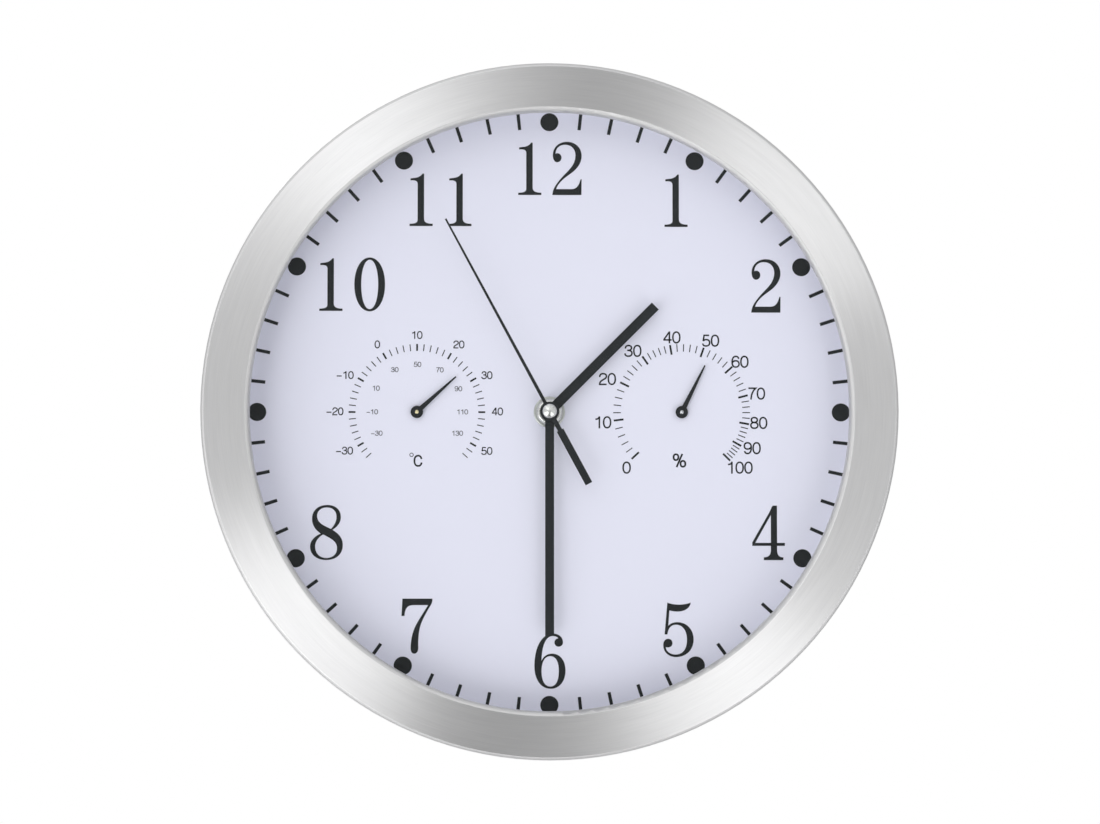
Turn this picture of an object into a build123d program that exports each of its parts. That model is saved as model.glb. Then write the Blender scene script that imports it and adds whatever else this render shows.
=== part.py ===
from build123d import *
import os
from math import cos, hypot, radians, sin

# A wall clock with a thermometer and a hygrometer let into its dial
# Each piece is drawn as seen from the front: X right, Y up, Z from the wall towards the viewer
# It is then turned so that Z is up and the face looks along -Y, with the case's centre at the origin

# Case, mm
case_diameter = 300.0
rim_face_width = 20.8
rim_sheet = 1.2
rim_corner = 1.6
rim_roll = 2.0
rim_lip = 4.5
cover_thickness = 2.0
cover_margin = 0.8
spigot_wall = 2.0
spigot_height = 6.0

# Glass, dial and the ring between them, mm
glass_thickness = 2.0
glass_bevel = 0.3
glass_clearance = 1.3
dial_thickness = 0.8
dial_edge_gap = 0.7
clamp_width = 4.0
ring_wall = 2.5
ring_flange = 2.0
rebate_wall = 2.0
rebate_play = 0.2

# Case screws, mm
screw_count = 6
screw_radius = 1.5
screw_length = 14.0
screw_head_radius = 2.8
screw_head_height = 1.3
boss_radius = 4.0

# Hanging keyhole, mm
hang_height = 112.0
keyhole_drop = 12.0
keyhole_radius = 5.0
keyhole_slot = 5.0
keyhole_pad_margin = 6.0
keyhole_pad_height = 1.2

# Stiffening and vents of the rear cover, mm
collar_margin = 2.0
collar_wall = 2.0
rib_count = 8
rib_width = 1.6
rib_height = 4.0
vent_count = 5
vent_width = 3.0
vent_length = 24.0
vent_pitch = 6.0

# Clock movement, mm
movement_depth = 15.5
movement_setback = 2.0
movement_wall = 1.2
movement_corner = 2.0
window_gap = 1.0
gasket_radius = 14.0
gasket_thickness = 1.0
bush_radius = 4.0
bush_length = 5.9
washer_radius = 6.85
washer_thickness = 0.8
washer_bevel_width = 0.9
washer_bevel_height = 0.4
nut_radius = 5.6
nut_thickness = 2.4
nut_bevel_width = 0.9
nut_bevel_height = 0.7

# Battery bay, mm
cell_diameter = 14.2
cell_length = 50.5
cell_edge = 0.6
nub_radius = 2.7
nub_length = 1.0
bay_play = 1.0
contact_room = 3.1
contact_sheet = 0.4
contact_width = 8.0
contact_tail_width = 2.2
finger_notch_radius = 9.0
finger_notch_depth = 5.0

# Gear train, mm: modules, wheel thickness, layers and shafts
rotor_module = 0.25
seconds_module = 0.35
motion_module = 0.4
chamber_reach = 10.4
wheel_thickness = 0.7
layer_count = 5
layer_margin = 1.8
pinion_overlap = 0.3
arbor_radius = 0.5
arbor_clearance = 0.385
pivot_depth = 1.1
boss_height = 1.4
pivot_boss_radius = 1.4
minute_tube_radius = 1.55
hour_tube_radius = 2.55
cannon_collar_radius = 2.3
cannon_collar_height = 0.7
motion_post_radius = 0.6
hour_hub_radius = 3.4
drive_hub_radius = 3.0
drive_hub_height = 0.2

# Setting knob, mm
knob_radius = 5.5
knob_height = 2.6
knob_shaft_radius = 1.0
knob_groove_radius = 0.5
knob_groove_count = 18
well_depth = 2.4
well_play = 0.8

# Stepping motor and circuit board, mm
magnet_radius = 2.8
magnet_height = 4.0
magnet_lift = 0.4
air_gap = 0.4
stator_ring = 1.7
stator_sheet = 0.8
stator_lift = 0.3
stator_arm = 4.0
coil_inset = 5.3
coil_rise = 8.0
coil_length = 24.0
core_width = 2.4
bobbin_wall = 0.6
bobbin_flange = 8.0
bobbin_flange_sheet = 0.8
winding_radius = 3.4
board_width = 8.0
board_thickness = 1.0
board_lift = 0.8
board_margin = 0.8
crystal_radius = 1.0
crystal_length = 6.0
chip_radius = 2.5
chip_height = 1.1

# Hands, mm
hand_thickness = 0.6
hand_pitch = 2.1
hand_hub_radius = 4.1
hand_lead = 0.3
hour_hand_length = 65.0
hour_hand_width = 4.3
minute_hand_length = 97.1
minute_hand_width = 3.85
second_hand_length = 94.9
second_hand_root = 1.5
second_hand_tip = 0.8
second_hand_sheet = 0.4
second_tail_length = 35.7
second_tail_width = 3.2
second_neck_length = 9.4
second_neck_width = 2.0
cap_radius = 3.1
cap_height = 1.6
cap_bore_depth = 0.5

# Thermometer and hygrometer, mm
gauge_offset = 57.6
cup_radius = 20.0
cup_wall = 1.0
cup_depth = 10.5
cup_slot_width = 3.0
cup_slot_length = 9.0
cup_slot_count = 6
spindle_radius = 0.8
spindle_boss_radius = 2.0
spindle_boss_height = 2.0
spindle_hub_radius = 1.5
spindle_hole_radius = 1.1
coil_lift = 1.0
strip_thickness = 0.3
strip_height = 3.0
strip_pitch = 3.1
strip_post_width = 1.6
thermometer_turns = 4
hygrometer_turns = 3
pointer_lift = 1.3
pointer_thickness = 0.4
pointer_hub_radius = 2.7
pointer_root = 2.3
pointer_tip = 0.6
thermometer_pointer_length = 22.9
hygrometer_pointer_length = 22.8
pointer_collar_radius = 1.8
pointer_collar_rise = 0.25
pointer_pin_rise = 0.6
pin_ball_radius = 1.2

# Fits, mm
running_gap = 0.1
press_gap = 0.02
end_gap = 0.2
seat_gap = 0.3
overrun = 1.0

# Teeth of each wheel and pinion
pinion_teeth = 8
intermediate_teeth = 40
seconds_teeth = 48
third_teeth = 60
centre_teeth = 64
cannon_teeth = 10
motion_teeth = 30
hour_teeth = 32
knob_teeth = 15

# Tooth forms as shares: addendum and dedendum of the module, root and tip width of the tooth pitch
wheel_tooth_shares = (0.9, 1.15, 0.60, 0.17)
pinion_tooth_shares = (0.8, 1.15, 0.36, 0.20)

# Directions in the movement, degrees anticlockwise from the right
third_direction = 30.0
intermediate_direction = 150.0
rotor_direction = 120.0
motion_direction = 90.0
knob_direction = 60.0

# What the hands and pointers show, degrees clockwise from the top
hour_hand_angle = 45.0
minute_hand_angle = 180.0
second_hand_angle = 331.6
thermometer_angle = 47.8
hygrometer_angle = 26.4
first_screw_angle = 30.0
first_rib_angle = 22.5

# Depths worked out from the sizes above, mm from the wall
case_radius = case_diameter / 2
opening_radius = case_radius - rim_face_width
shell_bore = case_radius - rim_sheet
ring_radius = shell_bore - seat_gap
spigot_bore = ring_radius - spigot_wall
boss_circle = spigot_bore - seat_gap - boss_radius
dial_radius = boss_circle - boss_radius - dial_edge_gap
clamp_bore = dial_radius - clamp_width
movement_front = movement_setback + movement_depth
inner_back = movement_setback + movement_wall
inner_front = movement_front - movement_wall
dial_back = movement_front + gasket_thickness
dial_front = dial_back + dial_thickness
washer_front = dial_front + washer_thickness
nut_front = washer_front + nut_thickness
bush_front = movement_front + bush_length
hour_hand_back = bush_front + seat_gap + hand_lead
minute_hand_back = hour_hand_back + hand_pitch
second_hand_back = minute_hand_back + hand_pitch
second_hand_front = second_hand_back + second_hand_sheet
cap_front = second_hand_front + cap_height
glass_back = cap_front + glass_clearance
glass_front = glass_back + glass_thickness
case_depth = glass_front + rim_lip + rim_roll
cup_back = dial_back - cup_depth
coil_back = cup_back + cup_wall + spindle_boss_height + coil_lift
pointer_back = dial_front + pointer_lift

# Battery bay and chamber of the movement, with the window round it in the rear cover
inner_half = (cell_length + contact_room) / 2
movement_half = inner_half + movement_wall
chamber_bottom = -chamber_reach
bay_top = chamber_bottom - movement_wall
bay_bottom = bay_top - bay_play - cell_diameter
movement_bottom = bay_bottom - movement_wall
window_half = movement_half + window_gap
window_bottom = movement_bottom - window_gap
collar_bore = hypot(window_half, window_bottom) + collar_margin
collar_radius = collar_bore + collar_wall
cell_centre = (bay_bottom + bay_top) / 2
cell_depth = inner_front - cell_diameter / 2
contact_inner = inner_half - contact_sheet
cell_right = contact_inner - running_gap
cell_left = cell_right - cell_length
layer_room = inner_front - inner_back - 2 * layer_margin - wheel_thickness


def layer(number):
    """Back of a wheel in the given layer, counted from the back of the movement."""
    return inner_back + layer_margin + number * layer_room / (layer_count - 1)


def from_point(start, direction, distance):
    """The point at a distance from another, in a direction in degrees."""
    angle = radians(direction)
    return (start[0] + distance * cos(angle), start[1] + distance * sin(angle))


def meshed(phase, teeth, direction, mate_teeth):
    """Phase that sets a gear's gap on its mate's tooth, across the line of centres."""
    return direction + 180 + 180 / mate_teeth - (phase - direction) * teeth / mate_teeth


# Centres and phases of the gears
centre = (0, 0)
seconds_tip = seconds_module * (seconds_teeth / 2 + wheel_tooth_shares[0])
train_distance = seconds_tip + arbor_radius + arbor_clearance
third_module = train_distance * 2 / (pinion_teeth + third_teeth)
centre_module = train_distance * 2 / (pinion_teeth + centre_teeth)
seconds_distance = seconds_module * (pinion_teeth + seconds_teeth) / 2
rotor_distance = rotor_module * (pinion_teeth + intermediate_teeth) / 2
motion_distance = motion_module * (cannon_teeth + motion_teeth) / 2
knob_distance = motion_module * (motion_teeth + knob_teeth) / 2
third_centre = from_point(centre, third_direction, train_distance)
intermediate_centre = from_point(centre, intermediate_direction, seconds_distance)
rotor_centre = from_point(intermediate_centre, rotor_direction, rotor_distance)
motion_centre = from_point(centre, motion_direction, motion_distance)
knob_centre = from_point(motion_centre, knob_direction, knob_distance)
magnet_back = layer(1) + wheel_thickness + pinion_overlap + magnet_lift
stator_back = layer(2) + wheel_thickness + stator_lift
well_floor = movement_setback + well_depth


def disc(radius, back, front, place=centre):
    """A round plate from one depth to another."""
    base = Pos(place[0], place[1], back)
    return base * Cylinder(radius, front - back, align=(Align.CENTER, Align.CENTER, Align.MIN))


def tube(bore, radius, back, front, place=centre):
    """A ring from one depth to another."""
    return disc(radius, back, front, place) - disc(bore, back - overrun, front + overrun, place)


def block(left, right, bottom, top, back, front):
    """A box between two sides, two heights and two depths."""
    base = Pos((left + right) / 2, (bottom + top) / 2, back)
    align = (Align.CENTER, Align.CENTER, Align.MIN)
    return base * Box(right - left, top - bottom, front - back, align=align)


def plate(outline, back, front):
    """A flat outline raised from one depth to another."""
    return Pos(0, 0, back) * extrude(outline, front - back)


def turned(edges):
    """A closed outline of radius and depth, turned about the axis."""
    return revolve(Rot(X=90) * make_face(edges), Axis.Z)


def turned_points(points):
    """The same for an outline with straight sides."""
    return turned(Polyline(*points, close=True))


def around(count, first_angle, distance):
    """Places on a circle, with their angles in degrees."""
    angles = [first_angle + 360 * number / count for number in range(count)]
    return [(from_point(centre, angle, distance), angle) for angle in angles]


def toothed(teeth, module, phase, back, front, tooth_shares, place=centre):
    """A gear with straight-flanked teeth."""
    addendum_share, dedendum_share, root_share, tip_share = tooth_shares
    root = module * (teeth / 2 - dedendum_share)
    tip = module * (teeth / 2 + addendum_share)
    corners = ((root, -root_share), (tip, -tip_share), (tip, tip_share), (root, root_share))
    points = []
    for number in range(teeth):
        for radius, side in corners:
            points.append(from_point(place, phase + 360 * (number + side / 2) / teeth, radius))
    return plate(make_face(Polyline(*points, close=True)), back, front)


def wheel(teeth, module, phase, back, place=centre):
    """A toothed wheel of the usual thickness."""
    return toothed(teeth, module, phase, back, back + wheel_thickness, wheel_tooth_shares, place)


def pinion(teeth, module, phase, back, front, place=centre):
    """A small gear with slim leaves."""
    return toothed(teeth, module, phase, back, front, pinion_tooth_shares, place)


def pivoted(place):
    """A thin arbor that reaches into its bosses at both ends."""
    back = inner_back + boss_height - pivot_depth + end_gap
    front = inner_front - boss_height + pivot_depth - end_gap
    return disc(arbor_radius, back, front, place)


def bezel():
    """Spun aluminium rim: side wall, outer corner, flat face, rolled inner edge and lip on the glass."""
    roll_radius = opening_radius + rim_roll
    corner_radius = case_radius - rim_corner
    roll_depth = case_depth - rim_roll
    corner_depth = case_depth - rim_corner
    inner_face = case_depth - rim_sheet
    outside = [
        Line((case_radius, cover_thickness), (case_radius, corner_depth)),
        CenterArc((corner_radius, corner_depth), rim_corner, 0, 90),
        Line((corner_radius, case_depth), (roll_radius, case_depth)),
        CenterArc((roll_radius, roll_depth), rim_roll, 90, 90),
        Line((opening_radius, roll_depth), (opening_radius, glass_front)),
    ]
    inside = [
        Line((opening_radius + rim_sheet, glass_front), (opening_radius + rim_sheet, roll_depth)),
        CenterArc((roll_radius, roll_depth), rim_roll - rim_sheet, 90, 90),
        Line((roll_radius, inner_face), (corner_radius, inner_face)),
        CenterArc((corner_radius, corner_depth), rim_corner - rim_sheet, 0, 90),
        Line((shell_bore, corner_depth), (shell_bore, cover_thickness)),
    ]
    ends = [
        Line((opening_radius, glass_front), (opening_radius + rim_sheet, glass_front)),
        Line((shell_bore, cover_thickness), (case_radius, cover_thickness)),
    ]
    return turned(outside + inside + ends)


def glass_lens():
    """Flat mineral glass with a broken edge."""
    glass = disc(dial_radius, glass_back, glass_front)
    return chamfer(glass.edges(), glass_bevel)


def dial():
    """Printed sheet dial, bored for the bush and both spindles."""
    sheet = disc(dial_radius, dial_back, dial_front)
    sheet -= disc(bush_radius + running_gap, dial_back - overrun, dial_front + overrun)
    for side in (-gauge_offset, gauge_offset):
        sheet -= disc(spindle_hole_radius, dial_back - overrun, dial_front + overrun, (side, 0))
    return sheet


def inner_ring():
    """Moulded ring that spaces the glass from the dial, with six screw bosses at its back."""
    wall_radius = clamp_bore + ring_wall
    flange_front = dial_front + ring_flange
    rebate_bore = dial_radius + seat_gap
    rebate_radius = rebate_bore + rebate_wall
    ring = turned_points([
        (clamp_bore, dial_front),
        (ring_radius, dial_front),
        (ring_radius, flange_front),
        (wall_radius, flange_front),
        (wall_radius, glass_back - ring_flange),
        (rebate_radius, glass_back - ring_flange),
        (rebate_radius, glass_front - rebate_play),
        (rebate_bore, glass_front - rebate_play),
        (rebate_bore, glass_back),
        (clamp_bore, glass_back),
    ])
    for place, angle in around(screw_count, first_screw_angle, boss_circle):
        ring += disc(boss_radius, cover_thickness, dial_front, place)
    for place, angle in around(screw_count, first_screw_angle, boss_circle):
        ring -= disc(screw_radius + press_gap, cover_thickness - overrun, screw_length + seat_gap, place)
    return ring


def rear_cover():
    """Moulded back: plate, spigot inside the rim, ring behind the dial, ribs, vents, keyhole and window."""
    support_radius = clamp_bore + ring_wall
    inside = cover_thickness
    cover = disc(case_radius - cover_margin, 0, inside)
    cover += tube(spigot_bore, ring_radius, inside, inside + spigot_height)
    cover += tube(clamp_bore, support_radius, inside, dial_back)
    cover += tube(collar_bore, collar_radius, inside, cup_back - seat_gap)
    rib_length = clamp_bore - collar_bore
    for place, angle in around(rib_count, first_rib_angle, (clamp_bore + collar_radius) / 2):
        rib = block(-rib_length / 2, rib_length / 2, -rib_width / 2, rib_width / 2, 0, rib_height)
        cover += Pos(place[0], place[1], inside) * Rot(Z=angle) * rib
    cover += keyhole_pad()
    cover -= block(-window_half, window_half, window_bottom, window_half, -overrun, inside + overrun)
    for place, angle in around(screw_count, first_screw_angle, boss_circle):
        cover -= disc(screw_radius + running_gap, -overrun, cover_thickness + overrun, place)
        cover -= disc(screw_head_radius + running_gap, -overrun, screw_head_height, place)
    for side in (-gauge_offset, gauge_offset):
        for number in range(vent_count):
            across = side + (number - (vent_count - 1) / 2) * vent_pitch
            slot = SlotOverall(vent_length, vent_width, rotation=90)
            cover -= Pos(across, 0, 0) * plate(slot, -overrun, cover_thickness + overrun)
    return cover - keyhole()


def keyhole_pad():
    """Thicker patch of the cover round the keyhole."""
    reach = keyhole_drop + 2 * (keyhole_radius + keyhole_pad_margin)
    outline = SlotOverall(reach, 2 * (keyhole_radius + keyhole_pad_margin), rotation=90)
    patch = plate(outline, cover_thickness, cover_thickness + keyhole_pad_height)
    return Pos(0, hang_height - keyhole_drop / 2, 0) * patch


def keyhole():
    """Entry for a screw head, with a slot that leads up to the hanging point."""
    top = cover_thickness + keyhole_pad_height + overrun
    entry = disc(keyhole_radius, -overrun, top, (0, hang_height - keyhole_drop))
    outline = SlotCenterToCenter(keyhole_drop, keyhole_slot, rotation=90)
    return entry + Pos(0, hang_height - keyhole_drop / 2, 0) * plate(outline, -overrun, top)


def cover_screws():
    """Six countersunk screws from the back into the ring's bosses."""
    screws = []
    for place, angle in around(screw_count, first_screw_angle, boss_circle):
        head = disc(screw_head_radius, 0, screw_head_height, place)
        screws.append(head + disc(screw_radius, screw_head_height, screw_length, place))
    return Compound(children=screws)


def movement_rear_case():
    """Back half of the movement: gear chamber, battery bay open to the back, knob well and pivot bosses."""
    half = movement_half
    case = block(-half, half, movement_bottom, half, movement_setback, inner_front)
    case = fillet(case.edges().filter_by(Axis.Z), movement_corner)
    case -= block(-inner_half, inner_half, chamber_bottom, inner_half, inner_back, inner_front + overrun)
    bay_back = movement_setback - overrun
    case -= block(-inner_half, inner_half, bay_bottom, bay_top, bay_back, inner_front + overrun)
    notch_depth = movement_setback + finger_notch_depth - finger_notch_radius
    notch = Pos(0, movement_bottom, notch_depth)
    case -= notch * Rot(X=90) * Cylinder(finger_notch_radius, 2 * (movement_wall + overrun))
    tail_front = inner_back + board_lift + board_thickness + contact_tail_width
    for left in (-inner_half, inner_half - contact_tail_width):
        right = left + contact_tail_width
        case -= block(left, right, bay_top - overrun, chamber_bottom + overrun, inner_back, tail_front)
    well_radius = knob_radius + well_play
    case += disc(well_radius + movement_wall, movement_setback, well_floor + movement_wall, knob_centre)
    case -= disc(well_radius, movement_setback - overrun, well_floor, knob_centre)
    case -= disc(knob_shaft_radius + running_gap, movement_setback, layer(2), knob_centre)
    for place in (centre, third_centre, intermediate_centre, rotor_centre):
        case += disc(pivot_boss_radius, inner_back, inner_back + boss_height, place)
    for place in (centre, third_centre, intermediate_centre, rotor_centre):
        top = inner_back + boss_height
        case -= disc(arbor_radius + running_gap, top - pivot_depth, top + overrun, place)
    for rise in (-1, 1):
        post = (board_right() - board_width / 2, board_middle() + rise * board_length() / 3)
        case += disc(pivot_boss_radius, inner_back, inner_back + board_lift, post)
    return case


def movement_front_case():
    """Front plate of the movement with the threaded bush, the pivot bosses and the motion wheel's post."""
    half = movement_half
    case = block(-half, half, movement_bottom, half, inner_front, movement_front)
    case = fillet(case.edges().filter_by(Axis.Z), movement_corner)
    case += disc(bush_radius, movement_front, bush_front)
    case -= disc(hour_tube_radius + running_gap, inner_front - overrun, bush_front + overrun)
    bosses = (third_centre, intermediate_centre, rotor_centre)
    for place in bosses + (motion_centre,):
        case += disc(pivot_boss_radius, inner_front - boss_height, inner_front, place)
    for place in bosses:
        back = inner_front - boss_height
        case -= disc(arbor_radius + running_gap, back - overrun, back + pivot_depth, place)
    knob_boss = knob_shaft_radius + movement_wall
    case += disc(knob_boss, inner_front - boss_height, inner_front, knob_centre)
    back = inner_front - boss_height
    case -= disc(knob_shaft_radius + running_gap, back - overrun, back + pivot_depth, knob_centre)
    case += disc(motion_post_radius, layer(3) - end_gap, inner_front, motion_centre)
    return case


def dial_gasket():
    """Rubber washer between the movement and the dial."""
    return tube(bush_radius + press_gap, gasket_radius, movement_front, dial_back)


def bevelled_ring(radius, back, front, bevel_width, bevel_height):
    """A ring on the bush with its front outer edge bevelled."""
    bore = bush_radius + press_gap
    return turned_points([
        (bore, back),
        (radius, back),
        (radius, front - bevel_height),
        (radius - bevel_width, front),
        (bore, front),
    ])


def dial_washer():
    """Bright washer on the front of the dial."""
    return bevelled_ring(washer_radius, dial_front, washer_front, washer_bevel_width, washer_bevel_height)


def bush_nut():
    """Round nut that clamps the dial to the movement."""
    return bevelled_ring(nut_radius, washer_front, nut_front, nut_bevel_width, nut_bevel_height)


def rotor_phase():
    """Angle of a rotor leaf, in mesh with the intermediate wheel."""
    return meshed(intermediate_wheel_phase(), intermediate_teeth, rotor_direction, pinion_teeth)


def intermediate_wheel_phase():
    """Angle of a tooth of the intermediate wheel, set on the line to the rotor."""
    return rotor_direction


def rotor_pinion():
    """Rotor arbor with its leaves."""
    back = layer(1) - pinion_overlap
    front = layer(1) + wheel_thickness + pinion_overlap
    leaves = pinion(pinion_teeth, rotor_module, rotor_phase(), back, front, rotor_centre)
    return leaves + pivoted(rotor_centre)


def rotor_magnet():
    """Magnet pressed on the rotor arbor."""
    bore = arbor_radius + press_gap
    return tube(bore, magnet_radius, magnet_back, magnet_back + magnet_height, rotor_centre)


def intermediate_wheel():
    """Wheel driven by the rotor, with the pinion that drives the seconds wheel."""
    place = intermediate_centre
    gear = wheel(intermediate_teeth, rotor_module, intermediate_wheel_phase(), layer(1), place)
    phase = intermediate_direction + 180
    back = layer(0) - pinion_overlap / 2
    gear += pinion(pinion_teeth, seconds_module, phase, back, layer(1), place)
    return gear + pivoted(place)


def seconds_wheel():
    """Wheel on the long arbor that carries the second hand."""
    phase = meshed(intermediate_direction + 180, pinion_teeth, intermediate_direction + 180, seconds_teeth)
    gear = wheel(seconds_teeth, seconds_module, phase, layer(0))
    front = layer(1) + wheel_thickness + pinion_overlap
    gear += pinion(pinion_teeth, third_module, third_direction, layer(0) + wheel_thickness, front)
    back = inner_back + boss_height - pivot_depth + end_gap
    return gear + disc(arbor_radius, back, second_hand_front + seat_gap)


def third_wheel():
    """Wheel that slows the seconds wheel for the centre wheel."""
    place = third_centre
    phase = meshed(third_direction, pinion_teeth, third_direction, third_teeth)
    gear = wheel(third_teeth, third_module, phase, layer(1), place)
    front = layer(2) + wheel_thickness + pinion_overlap
    leaf = third_direction + 180
    gear += pinion(pinion_teeth, centre_module, leaf, layer(1) + wheel_thickness, front, place)
    return gear + pivoted(place)


def centre_wheel():
    """Wheel that turns once an hour and drives the minute tube by friction."""
    phase = meshed(third_direction + 180, pinion_teeth, third_direction + 180, centre_teeth)
    gear = wheel(centre_teeth, centre_module, phase, layer(2))
    hub_front = layer(2) + wheel_thickness + drive_hub_height
    gear += disc(drive_hub_radius, layer(2), hub_front)
    return gear - disc(minute_tube_radius + running_gap, layer(2) - overrun, hub_front + overrun)


def minute_cannon():
    """Minute tube with its friction collar and pinion, open for the seconds arbor."""
    collar_back = layer(2) - running_gap - cannon_collar_height
    pinion_back = layer(2) + wheel_thickness + drive_hub_height + running_gap
    front = layer(3) + wheel_thickness + pinion_overlap
    cannon = disc(minute_tube_radius, collar_back, minute_hand_back + hand_thickness + seat_gap)
    cannon += disc(cannon_collar_radius, collar_back, collar_back + cannon_collar_height)
    cannon += pinion(cannon_teeth, motion_module, motion_direction, pinion_back, front)
    return cannon - disc(arbor_radius + running_gap, collar_back - overrun, second_hand_back)


def motion_wheel_phase():
    """Angle of a tooth of the motion wheel, in mesh with the minute tube's pinion."""
    return meshed(motion_direction, cannon_teeth, motion_direction, motion_teeth)


def motion_wheel():
    """Wheel and pinion between the minute tube and the hour wheel, on a fixed post."""
    place = motion_centre
    gear = wheel(motion_teeth, motion_module, motion_wheel_phase(), layer(3), place)
    back = layer(3) + wheel_thickness
    front = inner_front - boss_height - running_gap
    gear += pinion(pinion_teeth, motion_module, motion_direction + 180, back, front, place)
    bore = motion_post_radius + running_gap / 2
    return gear - disc(bore, layer(3) - overrun, front + overrun, place)


def hour_wheel():
    """Hour wheel and the tube that carries the hour hand."""
    phase = meshed(motion_direction + 180, pinion_teeth, motion_direction + 180, hour_teeth)
    gear = wheel(hour_teeth, motion_module, phase, layer(4))
    gear += disc(hour_hub_radius, layer(4), inner_front - end_gap)
    front = hour_hand_back + hand_thickness + seat_gap
    gear += disc(hour_tube_radius, layer(4), front)
    return gear - disc(minute_tube_radius + running_gap, layer(4) - overrun, front + overrun)


def setting_knob():
    """Grooved knob at the back whose pinion turns the motion wheel."""
    back = well_floor - seat_gap - knob_height
    phase = meshed(motion_wheel_phase(), motion_teeth, knob_direction, knob_teeth)
    knob = disc(knob_radius, back, well_floor - seat_gap, knob_centre)
    for number in range(knob_groove_count):
        groove = from_point(knob_centre, 360 * number / knob_groove_count, knob_radius)
        knob -= disc(knob_groove_radius, back - overrun, well_floor, groove)
    shaft_front = inner_front - boss_height + pivot_depth - end_gap
    knob += disc(knob_shaft_radius, back, shaft_front, knob_centre)
    return knob + wheel(knob_teeth, motion_module, phase, layer(3), knob_centre)


def stator():
    """Soft iron plate from the coil's core to both sides of the rotor."""
    stator_front = stator_back + stator_sheet
    ring_outer = magnet_radius + air_gap + stator_ring
    low = coil_rise - coil_length / 2 - stator_arm
    high = coil_rise + coil_length / 2 + stator_arm
    left = coil_middle() - core_width / 2
    arm_left = rotor_centre[0] - ring_outer
    arm_right = arm_left + stator_arm
    iron = block(left, left + core_width, low, high, stator_back, stator_front)
    iron += block(left, arm_right, low, low + stator_arm, stator_back, stator_front)
    iron += block(left, arm_right, high - stator_arm, high, stator_back, stator_front)
    iron += block(arm_left, arm_right, low, high, stator_back, stator_front)
    iron += disc(ring_outer, stator_back, stator_front, rotor_centre)
    return iron - disc(magnet_radius + air_gap, stator_back - overrun, stator_front + overrun, rotor_centre)


def coil_middle():
    """The coil's middle, measured from the left wall of the movement."""
    return -inner_half + coil_inset


def coil_frame(half_width, low, high):
    """A square sleeve round the stator's core."""
    place = Pos(coil_middle(), 0, stator_back + stator_sheet / 2)
    bore = core_width / 2 + running_gap
    outer = block(-half_width, half_width, low, high, -half_width, half_width)
    return place * (outer - block(-bore, bore, low - overrun, high + overrun, -bore, bore))


def coil_bobbin():
    """Plastic bobbin on the stator's core."""
    low = coil_rise - coil_length / 2
    high = coil_rise + coil_length / 2
    wall = core_width / 2 + running_gap + bobbin_wall
    bobbin = coil_frame(wall, low, high)
    bobbin += coil_frame(bobbin_flange / 2, low, low + bobbin_flange_sheet)
    return bobbin + coil_frame(bobbin_flange / 2, high - bobbin_flange_sheet, high)


def coil_winding():
    """Copper winding, one body between the bobbin's flanges."""
    length = coil_length - 2 * bobbin_flange_sheet
    wall = core_width / 2 + running_gap + bobbin_wall + press_gap
    middle = stator_back + stator_sheet / 2
    place = Pos(coil_middle(), coil_rise, middle)
    copper = Rot(X=90) * Cylinder(winding_radius, length)
    return place * (copper - Box(2 * wall, length + overrun, 2 * wall))


def board_right():
    """Right edge of the circuit board."""
    return inner_half - board_margin


def board_length():
    """Length of the circuit board, with a margin to both walls of the chamber."""
    return inner_half - chamber_bottom - 2 * board_margin


def board_middle():
    """Height of the circuit board's middle."""
    return (inner_half + chamber_bottom) / 2


def circuit_board():
    """Narrow board along the right wall of the movement."""
    back = inner_back + board_lift
    low = board_middle() - board_length() / 2
    left = board_right() - board_width
    return block(left, board_right(), low, low + board_length(), back, back + board_thickness)


def quartz_can():
    """Crystal in its can, lying on the board."""
    front = inner_back + board_lift + board_thickness
    place = Pos(board_right() - board_width / 2, board_middle(), front + crystal_radius)
    return place * Rot(X=90) * Cylinder(crystal_radius, crystal_length)


def timing_chip():
    """Domed resin blob over the timing chip."""
    front = inner_back + board_lift + board_thickness
    ball = (chip_radius ** 2 + chip_height ** 2) / (2 * chip_height)
    place = Pos(board_right() - board_width / 2, board_middle() + board_length() / 4, front)
    dome = Pos(0, 0, chip_height - ball) * Sphere(ball)
    return place * (dome & disc(chip_radius, 0, chip_height))


def battery_contact_plus():
    """Flat contact at the right end of the bay, with a tail whose foot lies on the board."""
    half = contact_width / 2
    low = cell_centre - half
    tail_back = inner_back + board_lift + board_thickness
    tail_front = tail_back + contact_tail_width
    foot_bottom = chamber_bottom + board_margin
    tail_top = foot_bottom + contact_tail_width
    foot_left = board_right() - contact_tail_width
    foot_front = tail_back + contact_sheet
    sheet = block(contact_inner, inner_half, low, cell_centre + half, cell_depth - half, cell_depth + half)
    sheet += block(contact_inner, inner_half, low, tail_top, tail_back, tail_front)
    return sheet + block(foot_left, inner_half, foot_bottom, tail_top, tail_back, foot_front)


def battery_contact_minus():
    """Bowed spring contact at the left end of the bay, with a strip along the bay's wall to the board."""
    half = contact_width / 2
    wall = -inner_half + contact_sheet / 2
    bow_tip = cell_left - running_gap - contact_sheet
    bow = Polyline((wall, cell_centre - half), (wall, cell_centre + half), (bow_tip, cell_centre))
    spring = plate(trace(bow, line_width=contact_sheet), cell_depth - half, cell_depth + half)
    tail_back = inner_back + board_lift + board_thickness
    tail_front = tail_back + contact_tail_width
    strip_bottom = chamber_bottom + board_margin
    strip_top = strip_bottom + contact_sheet
    strip_right = board_right() - board_width + contact_tail_width
    spring += block(-inner_half, -contact_inner, cell_centre, strip_top, tail_back, tail_front)
    return spring + block(-inner_half, strip_right, strip_bottom, strip_top, tail_back, tail_front)


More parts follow.
